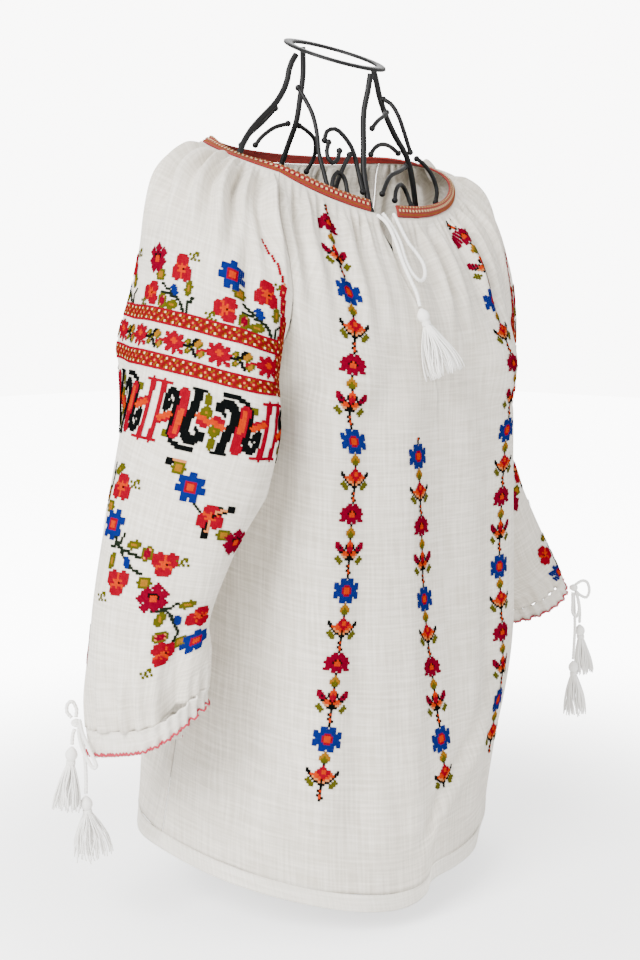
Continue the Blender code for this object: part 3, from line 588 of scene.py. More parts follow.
def aroundNeck(t):
    # from the wearer's left of the slit, round the back, to the right of the slit
    front = panelRow(frontRows, t, 120)
    share = slitShare(t)
    leftEnd = evenly(front, np.linspace(share + trims["bandEnd"], 1, 50))
    rightEnd = evenly(front, np.linspace(0, share - trims["bandEnd"], 50))
    return np.concatenate([
        leftEnd, sleeveRow(leftSleeveRows, 1, t, 60)[1:], panelRow(backRows, t, 80)[::-1][1:],
        sleeveRow(rightSleeveRows, -1, t, 60)[::-1][1:], rightEnd[1:]])


def aroundHem(t):
    return np.concatenate([panelRow(frontRows, t, 120), panelRow(backRows, t, 120)[::-1][1:]])


def smoothed(line, times):
    for _ in range(times):
        line = np.concatenate([line[:1], (line[:-2] + 2 * line[1:-1] + line[2:]) / 4, line[-1:]])
    return line


def bandRelief(share, row):
    rounded = 0.0005 * np.sin(np.pi * np.clip(row / body["bandRow"], 0, 1))
    return np.full(share.shape, trims["bandOut"]) + rounded


def hemRelief(share, row):
    loose = 0.0012 * waves(share, 91, 5, 5, 14) * bump(row, body["lastRow"], 0.2)
    return np.full(share.shape, trims["hemOut"]) + loose * ramp(fromEdge(share), 0, 0.03)


def cuffRelief(seed):
    def relief(share, row):
        tucks = trims["ruche"] * waves(share, seed, 4, 22, 34) * (0.35 + 0.65 * np.abs(row - 11.80) / 0.2)
        return trims["cuffOut"] + tucks * ramp(fromEdge(share), 0, 0.02)
    return relief


bandSurface = makeSurface(
    lambda t: smoothed(evenly(aroundNeck(t), np.linspace(0, 1, 300)), 70), (0.0, body["bandRow"]),
    np.linspace(0, 1, trims["bandColumns"]), 12, bandRelief, False)
hemSurface = makeSurface(
    aroundHem, (body["hemRow"], body["lastRow"]), np.linspace(0, 1, trims["hemColumns"]), 10,
    hemRelief, False)
clothObject("neckBand", bandSurface, trims["bandWall"], woven, ["neck_band"])
clothObject("hemBand", hemSurface, trims["hemWall"], turnedGauze, ["hem_band"], closedFrom=0)
cuffSurfaces = {}
for sideName, seed in (("right", 101), ("left", 111)):
    cuffSurfaces[sideName] = sleevePart(
        sideName, (sleeve["cuffRow"], body["lastRow"]), trims["cuffColumns"], 18, cuffRelief(seed))
    clothObject(sideName + "Cuff", cuffSurfaces[sideName], trims["cuffWall"], turnedGauze,
                ["cuff_" + sideName], closedFrom=0, flip=sideName == "right")

print("stage: embroidery")
stitch = {"cell": 0.0019, "lift": 0.00060, "rise": 0.00022, "barHalf": 0.00062, "jitter": 0.10}
threads = {
    "B": (0.004, 0.011, 0.105), "R": (0.185, 0.0002, 0.0085), "O": (0.36, 0.024, 0.001),
    "K": (0.0025, 0.003, 0.003), "G": (0.062, 0.058, 0.005), "Y": (0.21, 0.088, 0.006),
    "P": (0.42, 0.14, 0.045), "C": (0.125, 0.0002, 0.0100), "D": (0.007, 0.011, 0.006),
    "W": (0.62, 0.47, 0.24), "M": (0.15, 0.052, 0.004), "T": (0.122, 0.0050, 0.0050),
}
stranded, strandedTree, strandedShader = newMaterial(
    "stranded cotton", (0.6, 0.1, 0.1), 0.62, {"Specular IOR Level": 0.0})
threadGrain = grain(strandedTree, 2600.0)
threadShade = addNode(strandedTree, "MapRange", {"To Min": 0.72, "To Max": 1.12}, {"Value": threadGrain})
threadColour = addNode(strandedTree, "Attribute", attribute_name="thread")
threadLinks = {0: threadColour["Color"], "Scale": threadShade["Result"]}
threadMix = addNode(strandedTree, "VectorMath", links=threadLinks, operation="SCALE")
strandedTree.links.new(threadMix["Vector"], strandedShader.inputs["Base Color"])
bumped(strandedTree, strandedShader, threadGrain, 0.4, 0.0002)


def stitchObject(name, surface, marks, cell=stitch["cell"]):
    # every mark, (share, row, thread), is a cross of two raised bars on the cloth
    share, row = (np.array([float(mark[n]) for mark in marks]) for n in (0, 1))
    length = np.interp(row, surface["rows"], surface["lengths"])
    places, normals = pointAt(surface, share, row)
    rightward = pointAt(surface, share + cell / length, row)[0] - places
    backward = places - pointAt(surface, share - cell / length, row)[0]
    rightward = np.where(norms(rightward) < cell * 0.3, backward, rightward)
    rightward = rightward * 0.5 * cell / np.maximum(norms(rightward), 1e-6)
    downward = np.cross(rightward, normals)
    places = places - middle + normals * stitch["lift"]
    corners = []
    for first in (1, -1):
        run = rightward * first + downward
        side = np.cross(normals, run)
        side *= stitch["barHalf"] * cell / stitch["cell"] / np.maximum(norms(side), 1e-9)
        crest = normals * (stitch["rise"] + (0.0001 if first > 0 else 0.0))
        for along, lifted in ((-1.0, 0), (0, 1), (1.0, 0)):
            for across in (-1, 1):
                corners.append(places + run * along + side * across + crest * lifted)
    vertices = np.stack(corners, 1).reshape(-1, 3)
    count = len(places)
    offsets = np.array([[0, 1, 3, 2], [2, 3, 5, 4], [6, 7, 9, 8], [8, 9, 11, 10]])
    faces = (np.arange(count)[:, None, None] * 12 + offsets).reshape(-1, 4)
    mesh = bpy.data.meshes.new(name)
    mesh.from_pydata(vertices.tolist(), [], faces.tolist())
    random = np.random.default_rng(count)
    tint = 1 + stitch["jitter"] * (random.random(count) * 2 - 1)
    colours = np.array([threads[mark[2]] for mark in marks]) * tint[:, None]
    colours = np.repeat(np.concatenate([colours, np.ones((count, 1))], 1), 12, axis=0)
    layer = mesh.color_attributes.new("thread", "FLOAT_COLOR", "POINT")
    layer.data.foreach_set("color", colours.astype(np.float32).ravel())
    if mesh.polygons[0].normal.dot(Vector(normals[0])) < 0:
        mesh.flip_normals()
    mesh.materials.append(stranded)
    smoothShade(mesh)
    print(name, count, "stitches")
    link(bpy.data.objects.new(name, mesh))


# charts: a chart is a dictionary of cells, (across, down) to a thread key
def spot(chart, key, x, k, radiusX, radiusK=None, lean=0.0):
    radiusK = radiusK or radiusX
    turn = math.radians(lean)
    reach = int(max(radiusX, radiusK)) + 2
    for i in range(-reach, reach + 1):
        for j in range(-reach, reach + 1):
            u, v = i * math.cos(turn) + j * math.sin(turn), j * math.cos(turn) - i * math.sin(turn)
            if (u / radiusX) ** 2 + (v / radiusK) ** 2 <= 1.05:
                chart[round(x) + i, round(k) + j] = key


def stroke(chart, key, points, width=1.0):
    for (x0, k0), (x1, k1) in zip(points, points[1:]):
        steps = max(2, int(2 * max(abs(x1 - x0), abs(k1 - k0))))
        for n in range(steps + 1):
            x, k = x0 + (x1 - x0) * n / steps, k0 + (k1 - k0) * n / steps
            if width <= 1:
                chart[round(x), round(k)] = key
            else:
                reach = width / 2
                for i in range(int(math.ceil(x - reach)), int(math.floor(x + reach)) + 1):
                    for j in range(int(math.ceil(k - reach)), int(math.floor(k + reach)) + 1):
                        if (i - x) ** 2 + (j - k) ** 2 <= reach * reach + 0.3:
                            chart[i, j] = key


def blossom(chart, x, k, petalKey, petals, ring, petal, heart=("R", 2.9), core=("O", 1.7), start=0.0):
    for n in range(petals):
        turn = math.radians(start + 360 * n / petals)
        spot(chart, petalKey, x + ring * math.sin(turn), k - ring * math.cos(turn), petal)
    spot(chart, petalKey, x, k, ring - 0.7)
    if heart:
        spot(chart, heart[0], x, k, heart[1])
    spot(chart, core[0], x, k, core[1])


def blueFlower(chart, x, k, turn=0):
    blossom(chart, x, k, "B", 7, 5.2, 1.7, start=turn)


def arcFlower(chart, x, k, turn=0):
    blossom(chart, x, k, "C", 7, 4.6, 2.0, heart=("C", 2.9), start=turn)
    for n in range(-3, 4):
        angle = math.radians(turn + 24 * n)
        chart[round(x + 2.5 * math.sin(angle)), round(k - 2.5 * math.cos(angle))] = "K"


def lily(chart, x, k, turn=0):
    for n in range(3):
        angle = math.radians(turn + 120 * n)
        spot(chart, "R", x + 3.5 * math.sin(angle), k - 3.5 * math.cos(angle), 3.3, 2.8, turn + 120 * n)
    for n in range(3):
        angle = math.radians(turn + 60 + 120 * n)
        stroke(chart, "O", [(x, k), (x + 3.6 * math.sin(angle), k - 3.6 * math.cos(angle))])
        stroke(chart, "O", [(x, k), (x - 1.8 * math.sin(angle), k + 1.8 * math.cos(angle))])
    chart[round(x + 1), round(k)] = "K"


# layers of a small motif: thread, half width, half height
layered = {
    "bud": (("B", 1.7, 2.6),),
    "gold": (("G", 3.0, 2.8), ("Y", 1.9, 1.9)),
    "red": (("G", 2.7, 3.4), ("P", 1.8, 2.7), ("C", 1.4, 2.2), ("R", 0.4, 0.4)),
    "leaf": (("G", 1.9, 3.3), ("Y", 0.5, 1.6)),
}


def sprig(chart, x, k, turn=0):
    for i, j in ((0, 0), (1, -1), (2, -1), (2, 0), (0, 1), (-1, 2), (1, 2), (-2, 0), (3, 2)):
        chart[round(x) + i, round(k) + j] = "G"


def hook(chart, x, k, turn=0):
    # a peach arm with a black tip
    angle = math.radians(turn)
    tip = (x + 7 * math.sin(angle), k - 7 * math.cos(angle))
    stroke(chart, "P", [(x, k), tip], 1.8)
    stroke(chart, "K", [(x - 1, k + 1), (tip[0] - 1, tip[1] + 1)])
    spot(chart, "K", *tip, 1.8)


flowers = {"blue": blueFlower, "arc": arcFlower, "lily": lily, "sprig": sprig, "hook": hook}


def motif(chart, kind, x, k, turn=0):
    if kind in flowers:
        flowers[kind](chart, x, k, turn)
    for key, halfWidth, halfHeight in layered.get(kind, ()):
        spot(chart, key, x, k, halfWidth, halfHeight, turn)


# a bouquet over the bands: kind, across, down, turn
bouquet = (
    ("gold", 4, -16, 0), ("lily", 17, -20, 0), ("sprig", 23, -27, 0), ("lily", -2, -7, 30),
    ("bud", 14, -10, -30), ("red", 7, -4, 15), ("leaf", 22, -12, 15), ("leaf", 13, -3, 70),
    ("sprig", -9, -3, 0),
)
bouquetStems = (
    ((20, -1), (18, -5), (12, -9), (6, -12)), ((22, -1), (22, -5), (25, -8)), ((17, -6), (10, -8), (6, -8)))
bouquetPlaces = ((-94, "arc"), (-53, "blue"), (-10, "arc"), (33, "blue"))
# the sprays that run down the rest of the sleeve
sprays = (
    ("hook", 22, 63, -95), ("gold", 20, 66, 0), ("blue", 27, 73, 0), ("lily", 38, 85, 0),
    ("hook", 40, 83, 65), ("hook", 38, 87, 190), ("gold", 45, 93, 0), ("arc", 52, 97, 0),
    ("leaf", -10, 72, 60), ("red", -17, 83, 0), ("lily", -6, 79, 0), ("sprig", 1, 76, 0),
    ("gold", -11, 88, 0), ("blue", -6, 95, 20), ("leaf", 8, 102, 75), ("red", 15, 105, 20),
    ("lily", 23, 109, 60), ("sprig", 30, 107, 0), ("leaf", -2, 110, 10), ("bud", 6, 110, -20),
    ("lily", 3, 119, 180), ("sprig", -5, 125, 0), ("gold", 16, 118, 0), ("arc", 21, 125, 10),
    ("leaf", 36, 129, 75), ("leaf", 25, 135, 20), ("bud", 33, 137, -20), ("lily", 42, 137, 20),
    ("red", 26, 144, 80), ("gold", 36, 150, 0), ("lily", 28, 153, 200), ("sprig", 21, 160, 0),
    ("blue", 43, 153, 0), ("arc", -26, 148, 0), ("gold", -33, 141, 0), ("leaf", -40, 136, 20),
    ("lily", -48, 150, 40), ("blue", -58, 120, 0), ("lily", -70, 106, 0), ("leaf", -66, 112, 60),
    ("red", -50, 128, 20),
)
sprayStems = (
    ((-15, 70), (-14, 78), (-16, 86), (-20, 98)), ((-3, 100), (0, 103), (4, 108), (10, 113), (14, 114)),
    ((-4, 104), (0, 103), (2, 98)), ((0, 104), (8, 106), (12, 107)),
    ((24, 129), (28, 132), (31, 137), (34, 144), (32, 149)), ((21, 131), (26, 131), (32, 128)),
    ((30, 80), (34, 84), (38, 80), (46, 81)), ((-44, 140), (-36, 138), (-30, 142)),
)


figuredSize = (56, 28)
# one half of the figured band: thread, size, and one point of a spot or the points of a stroke
figuredMarks = (
    ("G", 2, (25, 3), (25, 6)), ("G", 2.2, (25, 10)), ("Y", 0.8, (25, 10)),
    ("G", (2.0, 1.6, 30), (9, 22)),
    ("K", 1.7, (10.5, 14), (10, 20), (12.5, 24.5), (17, 26.5), (23, 26.5)),
    ("K", 2.6, (6, 11), (5.5, 7), (7.5, 4), (10, 4.5), (11, 8), (10.5, 12)), ("K", 2, (6, 12), (8, 9)),
    ("R", 2.3, (3, 1), (2, 26)), ("R", 1.6, (0, 1), (7, 1)), ("R", 1.6, (-1, 26), (5, 26)),
    ("O", 2.6, (4, 16), (9, 14)), ("R", 1, (4, 18), (9, 16)), ("R", 2.7, (14.5, 4)),
    ("R", 4.4, (14.5, 7), (13.8, 13), (13, 21.5)), ("O", 2.6, (14.2, 12), (13.4, 20)),
    ("K", 3.8, (20.5, 3), (19.5, 9), (17.8, 14), (17.2, 18), (18.8, 22), (22, 23), (24.8, 20.5)),
    ("K", 1.8, (18, 1), (23.5, 1)), ("K", 1.6, (24.5, 20.5), (22, 17.5)), ("O", 2.2, (22, 12), (27, 14)),
    ("R", 1.6, (22, 14), (26, 16)),
)


def figuredCells():
    # the other half is the same, turned half round
    across, down = figuredSize
    half = {}
    for key, size, *points in figuredMarks:
        if len(points) > 1:
            stroke(half, key, points, size)
        elif isinstance(size, tuple):
            spot(half, key, *points[0], *size)
        else:
            spot(half, key, *points[0], size)
    whole = {}
    for (x, k), key in half.items():
        whole[x % across, k] = key
        whole[(across - 1 - x) % across, down - 1 - k] = key
    return whole


def geometricKey(x, k):
    # the red band with gold grid, cream dots and small diamonds
    if k in (0, 6):
        return "R"
    phase = x % 9
    if k in (1, 5) and phase in (0, 5):
        return "W"
    if k == 3 and phase in (2, 7):
        return "P"
    if (k in (2, 4) and phase in (2, 7)) or (k == 3 and phase in (1, 3, 6, 8)):
        return "R"
    return "M" if (x + k) % 3 == 0 and k != 3 else "T"


floralRepeat = (
    "......RR...............", "..RR.RRRR.RR......KKY..", "..RRRRRRRRRR..GG.KKYYY.",
    "...RRROORRR..GYG.KYYYG.", ".RRRROOOORRRR.GKKKYYG..", "RRRRRROORRRRKKKKG..G.RR",
    ".RRRRRRRRRRR..G.KK.RRYG", "...RRRRRRR...GYG.K.RYYG", "..RRR.RR.RRR.GG..KKGYY.",
    "..RR..RR..RR......K.G..", "......R................",
)


def bandTop(x):
    # how far down the sleeve the upper band lies, in cells
    return np.interp(x, [-110, -60, -28, -4, 19, 38, 58, 75, 110], [100, 98, 95, 91, 87, 84, 82, 85, 100])


# where each part of the sleeve design lies, in cells across and down from the top of the upper band
design = {
    "start": -108, "bandEnd": 58, "figuredEnd": 90,
    "flowers": -23, "floral": 9, "lowerBand": 21, "figured": 31,
}


def sleeveChart():
    chart = {}
    for x0, flower in bouquetPlaces:
        for line in bouquetStems:
            stroke(chart, "D", [(x0 + x, k) for x, k in line])
        for kind, x, k, turn in bouquet:
            motif(chart, kind, x0 + x, k, turn)
        motif(chart, flower, x0, design["flowers"])
    for line in sprayStems:
        stroke(chart, "D", line)
    for kind, x, k, turn in sprays:
        motif(chart, kind, x, k, turn)
    figured = figuredCells()
    for x in range(design["start"], design["figuredEnd"]):
        for j in range(figuredSize[1]):
            if (x % figuredSize[0], j) in figured:
                chart[x, design["figured"] + j] = figured[x % figuredSize[0], j]
    for x in range(design["start"], design["bandEnd"]):
        for j in range(7):
            chart[x, j] = geometricKey(x, j)
            chart[x, design["lowerBand"] + j] = geometricKey(x + 2, j)
        for j, line in enumerate(floralRepeat):
            if line[x % len(line)] != ".":
                chart[x, design["floral"] + j] = line[x % len(line)]
    for k in range(-46, 28):
        centre = np.interp(k, [-52, -43, -27, -10, 13, 28], [51, 54, 58, 60, 60, 60])
        half = np.interp(k, [-52, -20, 0, 28], [0.4, 1.2, 3.2, 3.4])
        for i in range(-3, 4):
            if abs(i) <= half:
                patterned = half > 2.9 or abs(i) < half - 0.9
                chart[round(centre) + i, k] = geometricKey(k, i + 3) if patterned else "R"
    return chart


def placeOnSleeve(surface, chart, name):
    cell = stitch["cell"]
    marks = []
    for (x, k), key in chart.items():
        down = (bandTop(x) + k) * cell
        row = np.interp(down, surface["down"], surface["rows"])
        share = 0.5 - x * cell / np.interp(row, surface["rows"], surface["lengths"])
        if 0.012 < share < 0.988 and down < surface["down"][-1] - 0.006:
            marks.append((share, row, key))
    stitchObject(name, surface, marks)


chart = sleeveChart()
for sideName, surface in sleeveSurfaces.items():
    placeOnSleeve(surface, chart, sideName + "SleeveStitches")

blueChart = (
    "....BBB.BBB....", "....BBBBBBB....", ".BB.BBBBBBB.BB.", ".BBBBBRRRBBBBB.", ".BBBBROOORBBBB.",
    "..BBBROOORBBB..", ".BBBBROOORBBBB.", ".BBBBBRRRBBBBB.", ".BB.BBBBBBB.BB.", "....BBBBBBB....",
    "....BBB.BBB....",
)
budChart = (
    ".......Y.......", "......YYY......", ".....YYGYY.....", ".....YGGGY.....", "......GGG......",
    ".......K.......",
)
calyxChart = (
    ".......R.......", "......RRR......", "K....RROORR...K", "KK..ORROORRO.KK", ".KOOOORRRROOOK.",
    "..KPOOORROOPK..", ".G.KPPOKOPPK.G.", "GGG.KKPKPKK.GGG", ".GGG..KKK..GGG.", "..GG...K...GG..",
    ".......K.......", "......KO.......",
)
stemChart = (".......K.......", "......KO.......", ".......OK......", ".......K.......")
crimsonChart = (
    ".....CC.CC.....", "....CCCCCCC....", "..CCCCCCCCCCC..", "..CCCCKOKCCCC..", ".CCCCKOOOKCCCC.",
    "..CCCCOOOCCCC..", "..CCCCCCCCCCC..", ".CCC.CCCCC.CCC.", ".....CC.CC.....", ".......K.......",
)
sideChart = (
    ".......O.......", "CC....OOO....CC", "CCC..KOROK..CCC", "CCKC.KRRRK.CKCC", ".CCCK.RRR.KCCC.",
    "..KKOOKRKOOKK..", "...POOOKOOOP...", ".G..PPKKKPP..G.", "GGG..KKKKK..GGG", ".GGG...K...GGG.",
    "..G....K....G..", "......KO.......",
)
stripRepeat = (blueChart + budChart + calyxChart + stemChart + crimsonChart + budChart + sideChart + stemChart
               + (".......K.......",))
# each strip: (share, row) points down the cloth, and the row of its first blue flower
strips = (
    ((
        (0.166, 0.75), (0.17, 1.62), (0.186, 3.15), (0.194, 5.12), (0.245, 6.3), (0.292, 7.3),
        (0.294, 8.12), (0.29, 8.94), (0.278, 9.65), (0.267, 10.47), (0.26, 11.01),
    ), 3.15),
    ((
        (0.433, 7.17), (0.436, 7.41), (0.443, 7.8), (0.45, 8.18), (0.46, 9), (0.477, 9.76), (0.492, 10.47),
        (0.5, 11.1),
    ), 7.41),
    ((
        (0.76, 0.7), (0.79, 1.6), (0.808, 3.37), (0.795, 5.56), (0.75, 6.5), (0.712, 7.3), (0.692, 8.12),
        (0.682, 8.83), (0.68, 9.6), (0.682, 10.31), (0.675, 11.05),
    ), 3.37),
)
cell = stitch["cell"]
marks = []
for route, firstBlue in strips:
    fine = np.array([catmull(np.array(route), t) for t in np.linspace(0, len(route) - 1, 240)])
    line = pointAt(frontSurface, fine[:, 0], fine[:, 1])[0]
    along = marksAlong(line)
    origin = np.interp(firstBlue, fine[:, 1], along)
    for j in range(int(-origin / cell), int((along[-1] - origin) / cell)):
        row = np.interp(origin + j * cell, along, fine[:, 1])
        share = np.interp(origin + j * cell, along, fine[:, 0])
        length = np.interp(row, frontSurface["rows"], frontSurface["lengths"])
        for i, key in enumerate(stripRepeat[(j + 5) % len(stripRepeat)]):
            if key != ".":
                marks.append((share + (i - 7) * cell / length, row, key))
stitchObject("frontStitches", frontSurface, marks)

# cream dots and gold flecks woven into the neck band
bandLength = bandSurface["lengths"][6]
dotPlaces = (
    (0, 0.19, "W"), (1, 0.19, "W"), (0, 0.226, "W"), (1, 0.226, "W"), (0.5, 0.065, "Y"), (3.1, 0.065, "W"),
    (0.5, 0.345, "Y"), (3.1, 0.345, "Y"), (2.6, 0.20, "R"), (2.6, 0.235, "R"),
)
marks = [
    ((n * trims["bandDot"] + 0.002 + i * 0.0009) / bandLength, row, key)
    for n in range(int(bandLength / trims["bandDot"])) for i, row, key in dotPlaces]
stitchObject("bandDots", bandSurface, marks, 0.0011)

print("stage: wire form")
# each route holds points of a centre line
stayRoutes = {
    "stay_right": (
        (-0.0395, -0.01, 0.7484), (-0.046, -0.009, 0.738), (-0.05, -0.009, 0.724), (-0.058, -0.009, 0.711),
        (-0.067, -0.008, 0.701), (-0.08, -0.007, 0.69), (-0.094, -0.007, 0.677), (-0.106, -0.008, 0.66),
        (-0.117, -0.012, 0.63), (-0.122, -0.018, 0.56), (-0.114, -0.018, 0.48), (-0.108, -0.018, 0.38),
        (-0.11, -0.018, 0.27), (-0.104, -0.018, 0.19), (-0.07, -0.017, 0.1), (-0.048, -0.016, 0.04),
        (-0.041, -0.016, 0.0066),
    ),
    "stay_left": (
        (0.0515, -0.019, 0.745), (0.055, -0.02, 0.734), (0.06, -0.02, 0.719), (0.068, -0.021, 0.702),
        (0.079, -0.023, 0.684), (0.093, -0.025, 0.666), (0.102, -0.025, 0.642), (0.112, -0.022, 0.605),
        (0.122, -0.018, 0.56), (0.114, -0.018, 0.48), (0.108, -0.018, 0.38), (0.111, -0.018, 0.27),
        (0.116, -0.018, 0.19), (0.11, -0.017, 0.1), (0.102, -0.016, 0.04), (0.101, -0.016, 0.0066),
    ),
    "stay_front": (
        (0.006, -0.0575, 0.7317), (0.004, -0.056, 0.716), (0.001, -0.054, 0.697), (0, -0.055, 0.668),
        (-0.004, -0.06, 0.64), (-0.003, -0.072, 0.6), (0, -0.1, 0.56), (0, -0.118, 0.51), (0, -0.122, 0.45),
        (0, -0.116, 0.36), (0, -0.114, 0.27), (0.003, -0.115, 0.19), (0.018, -0.1, 0.1),
        (0.028, -0.089, 0.04), (0.03, -0.087, 0.0066),
    ),
    "stay_back": (
        (0.0105, 0.031, 0.7645), (0.012, 0.032, 0.741), (0.01, 0.034, 0.719), (0.009, 0.038, 0.697),
        (0.008, 0.047, 0.678), (0.006, 0.059, 0.65), (0.002, 0.071, 0.612), (0, 0.079, 0.56),
        (0, 0.078, 0.48), (0, 0.072, 0.38), (0, 0.074, 0.27), (0.003, 0.078, 0.19), (0.018, 0.068, 0.1),
        (0.028, 0.057, 0.04), (0.03, 0.055, 0.0066),
    ),
}
scrollRoutes = {
    "arch_right_tall": (
        (188, 0.055, 0.718), (196, 0.054, 0.706), (203, 0.055, 0.694), (208, 0.058, 0.678),
        (211, 0.063, 0.66), (216, 0.069, 0.642), (220, 0.074, 0.624),
    ),
    "brace_right": ((164, 0.061, 0.702), (160, 0.071, 0.69), (162, 0.086, 0.678), (166, 0.097, 0.668)),
    "arch_front_right": (
        (214, 0.054, 0.672), (216, 0.051, 0.68), (225, 0.048, 0.682), (236, 0.046, 0.674),
        (245, 0.045, 0.663), (250, 0.047, 0.645), (252, 0.052, 0.628),
    ),
    "scroll_right_upper": (
        (218, 0.056, 0.67), (217, 0.06, 0.66), (221, 0.061, 0.652), (226, 0.056, 0.655),
        (228, 0.053, 0.663),
    ),
    "scroll_right_lower": (
        (222, 0.072, 0.622), (222, 0.068, 0.636), (226, 0.063, 0.644), (232, 0.06, 0.638),
        (234, 0.063, 0.624),
    ),
    "diagonal_right": ((239, 0.049, 0.66), (231, 0.052, 0.647), (225, 0.057, 0.632), (223, 0.06, 0.624)),
    "arch_back_right": ((140, 0.072, 0.672), (129, 0.066, 0.681), (116, 0.058, 0.69), (98, 0.053, 0.695)),
    "arch_back_left": (
        (82, 0.053, 0.694), (73, 0.053, 0.69), (62, 0.059, 0.682), (60, 0.068, 0.668), (65, 0.073, 0.654),
    ),
    "arch_left_tall": (
        (342, 0.051, 0.716), (335, 0.056, 0.711), (330, 0.061, 0.7), (329, 0.066, 0.686),
        (331, 0.073, 0.668),
    ),
    "branch_left": ((329, 0.049, 0.703), (314, 0.045, 0.699), (289, 0.042, 0.692), (276, 0.042, 0.685)),
    "arch_front_left": (
        (272, 0.043, 0.662), (280, 0.043, 0.668), (296, 0.044, 0.672), (318, 0.05, 0.672),
        (333, 0.062, 0.667),
    ),
    "diagonal_left": ((333, 0.069, 0.655), (318, 0.06, 0.65), (296, 0.052, 0.643), (275, 0.054, 0.627)),
    "scroll_left": (
        (292, 0.058, 0.622), (297, 0.058, 0.632), (308, 0.06, 0.637), (318, 0.065, 0.632),
        (316, 0.07, 0.618),
    ),
    "scroll_far_left": (
        (344, 0.089, 0.664), (344, 0.096, 0.66), (344, 0.106, 0.65), (344, 0.112, 0.636),
        (340, 0.106, 0.624),
    ),
}
torsoRings = {
    "ring_chest": (0.113, -0.02, 0.0935, 0.52, 0.1),
    "ring_waist": (0.1035, -0.022, 0.0895, 0.37, 0),
    "ring_hip": (0.099, -0.019, 0.09, 0.235, 0),
}

form = {"stay": 0.0027, "scroll": 0.0020, "weld": 0.0029}
iron, ironTree, ironShader = newMaterial(
    "black lacquered wire", (0.0012, 0.0012, 0.0014), 0.5, {"Specular IOR Level": 0.22})
ironGrain = grain(ironTree, 420.0, {"Detail": 4.0})
ironRange = addNode(ironTree, "MapRange", {"To Min": 0.42, "To Max": 0.6}, {"Value": ironGrain})
ironTree.links.new(ironRange["Result"], ironShader.inputs["Roughness"])
bumped(ironTree, ironShader, ironGrain, 0.25, 0.0003)


def smoothRoute(route, spacing):
    route = np.array(route, float)
    last = len(route) - 1
    dense = np.array([catmull(route, t) for t in np.linspace(0, last, 14 * last + 1)])
    return evenly(dense, np.linspace(0, 1, max(4, int(rowLength(dense) / spacing) + 1)))


def tubeObject(name, points, radius, sides, material, stands, closed=False):
    curve = bpy.data.curves.new(name, "CURVE")
    curve.dimensions = "3D"
    spline = curve.splines.new("POLY")
    spline.points.add(len(points) - 1)
    for knot, point in zip(spline.points, points):
        knot.co = (*point, 1.0)
    spline.use_cyclic_u = closed
    spline.use_smooth = True
    curve.bevel_depth = radius
    curve.bevel_resolution = sides // 2 - 2
    curve.use_fill_caps = not closed
    curve.materials.append(material)
    return link(bpy.data.objects.new(name, curve), stands)


def neckPoint(angle, distance, height):
    turn = math.radians(angle)
    return (0.007 + distance * math.cos(turn), -0.013 + distance * math.sin(turn), height)

def stripRing(name, place, radius, width, height, tilt, stands):
    # a flat strip bent round, with rounded edges and its underside at the height of place
    turn = np.linspace(0, 2 * np.pi, 97)[:-1]
    ring = bmesh.new()
    corners = []
    for inset, lift in ((0, 0.2), (0, 0.8), (0.1, 1), (0.9, 1), (1, 0.8), (1, 0.2), (0.9, 0), (0.1, 0)):
        reach = radius - inset * width
        corners.append([ring.verts.new((
            place[0] - middle[0] + reach * math.cos(a), place[1] - middle[1] + reach * math.sin(a),
            place[2] + lift * height + tilt * reach * math.sin(a))) for a in turn])
    for upper, lower in zip(corners, corners[1:] + corners[:1]):
        for k in range(96):
            n = (k + 1) % 96
            ring.faces.new((upper[k], upper[n], lower[n], lower[k]))
    bmesh.ops.recalc_face_normals(ring, faces=ring.faces)
    mesh = meshOf(name, ring, iron)
    mesh.set_sharp_from_angle(angle=math.radians(50))
    link(bpy.data.objects.new(name, mesh), stands)


for name, route in stayRoutes.items():
    tubeObject(name + "Wire", smoothRoute(route, 0.008) - middle, form["stay"], 12, iron, [name])
for name, route in scrollRoutes.items():
    points = smoothRoute([neckPoint(*place) for place in route], 0.004) - middle
    tubeObject(name + "Wire", points, form["scroll"], 10, iron, [name])
for name, (halfWidth, midY, halfDepth, height, rise) in torsoRings.items():
    turn = np.linspace(0, 2 * np.pi, 96, endpoint=False)
    along = halfDepth * np.sin(turn)
    points = np.stack([halfWidth * np.cos(turn), midY + along, height + rise * along], 1) - middle
    tubeObject(name + "Wire", points, form["scroll"], 10, iron, [name], closed=True)
stripRing("neckRing", (0.007, -0.013, 0.751), 0.046, 0.008, 0.003, 0.38, ["neck_ring"])
stripRing("footRing", (0.030, -0.016, 0.0), 0.078, 0.014, 0.004, 0.0, ["foot_ring"])

# welds where the fine wires end
welds = bmesh.new()
for route in scrollRoutes.values():
    for place in (route[0], route[-1]):
        end = Matrix.Translation(Vector(neckPoint(*place)) - Vector(middle))
        bmesh.ops.create_icosphere(welds, subdivisions=2, radius=form["weld"], matrix=end)
link(bpy.data.objects.new("welds", meshOf("welds", welds, iron)))

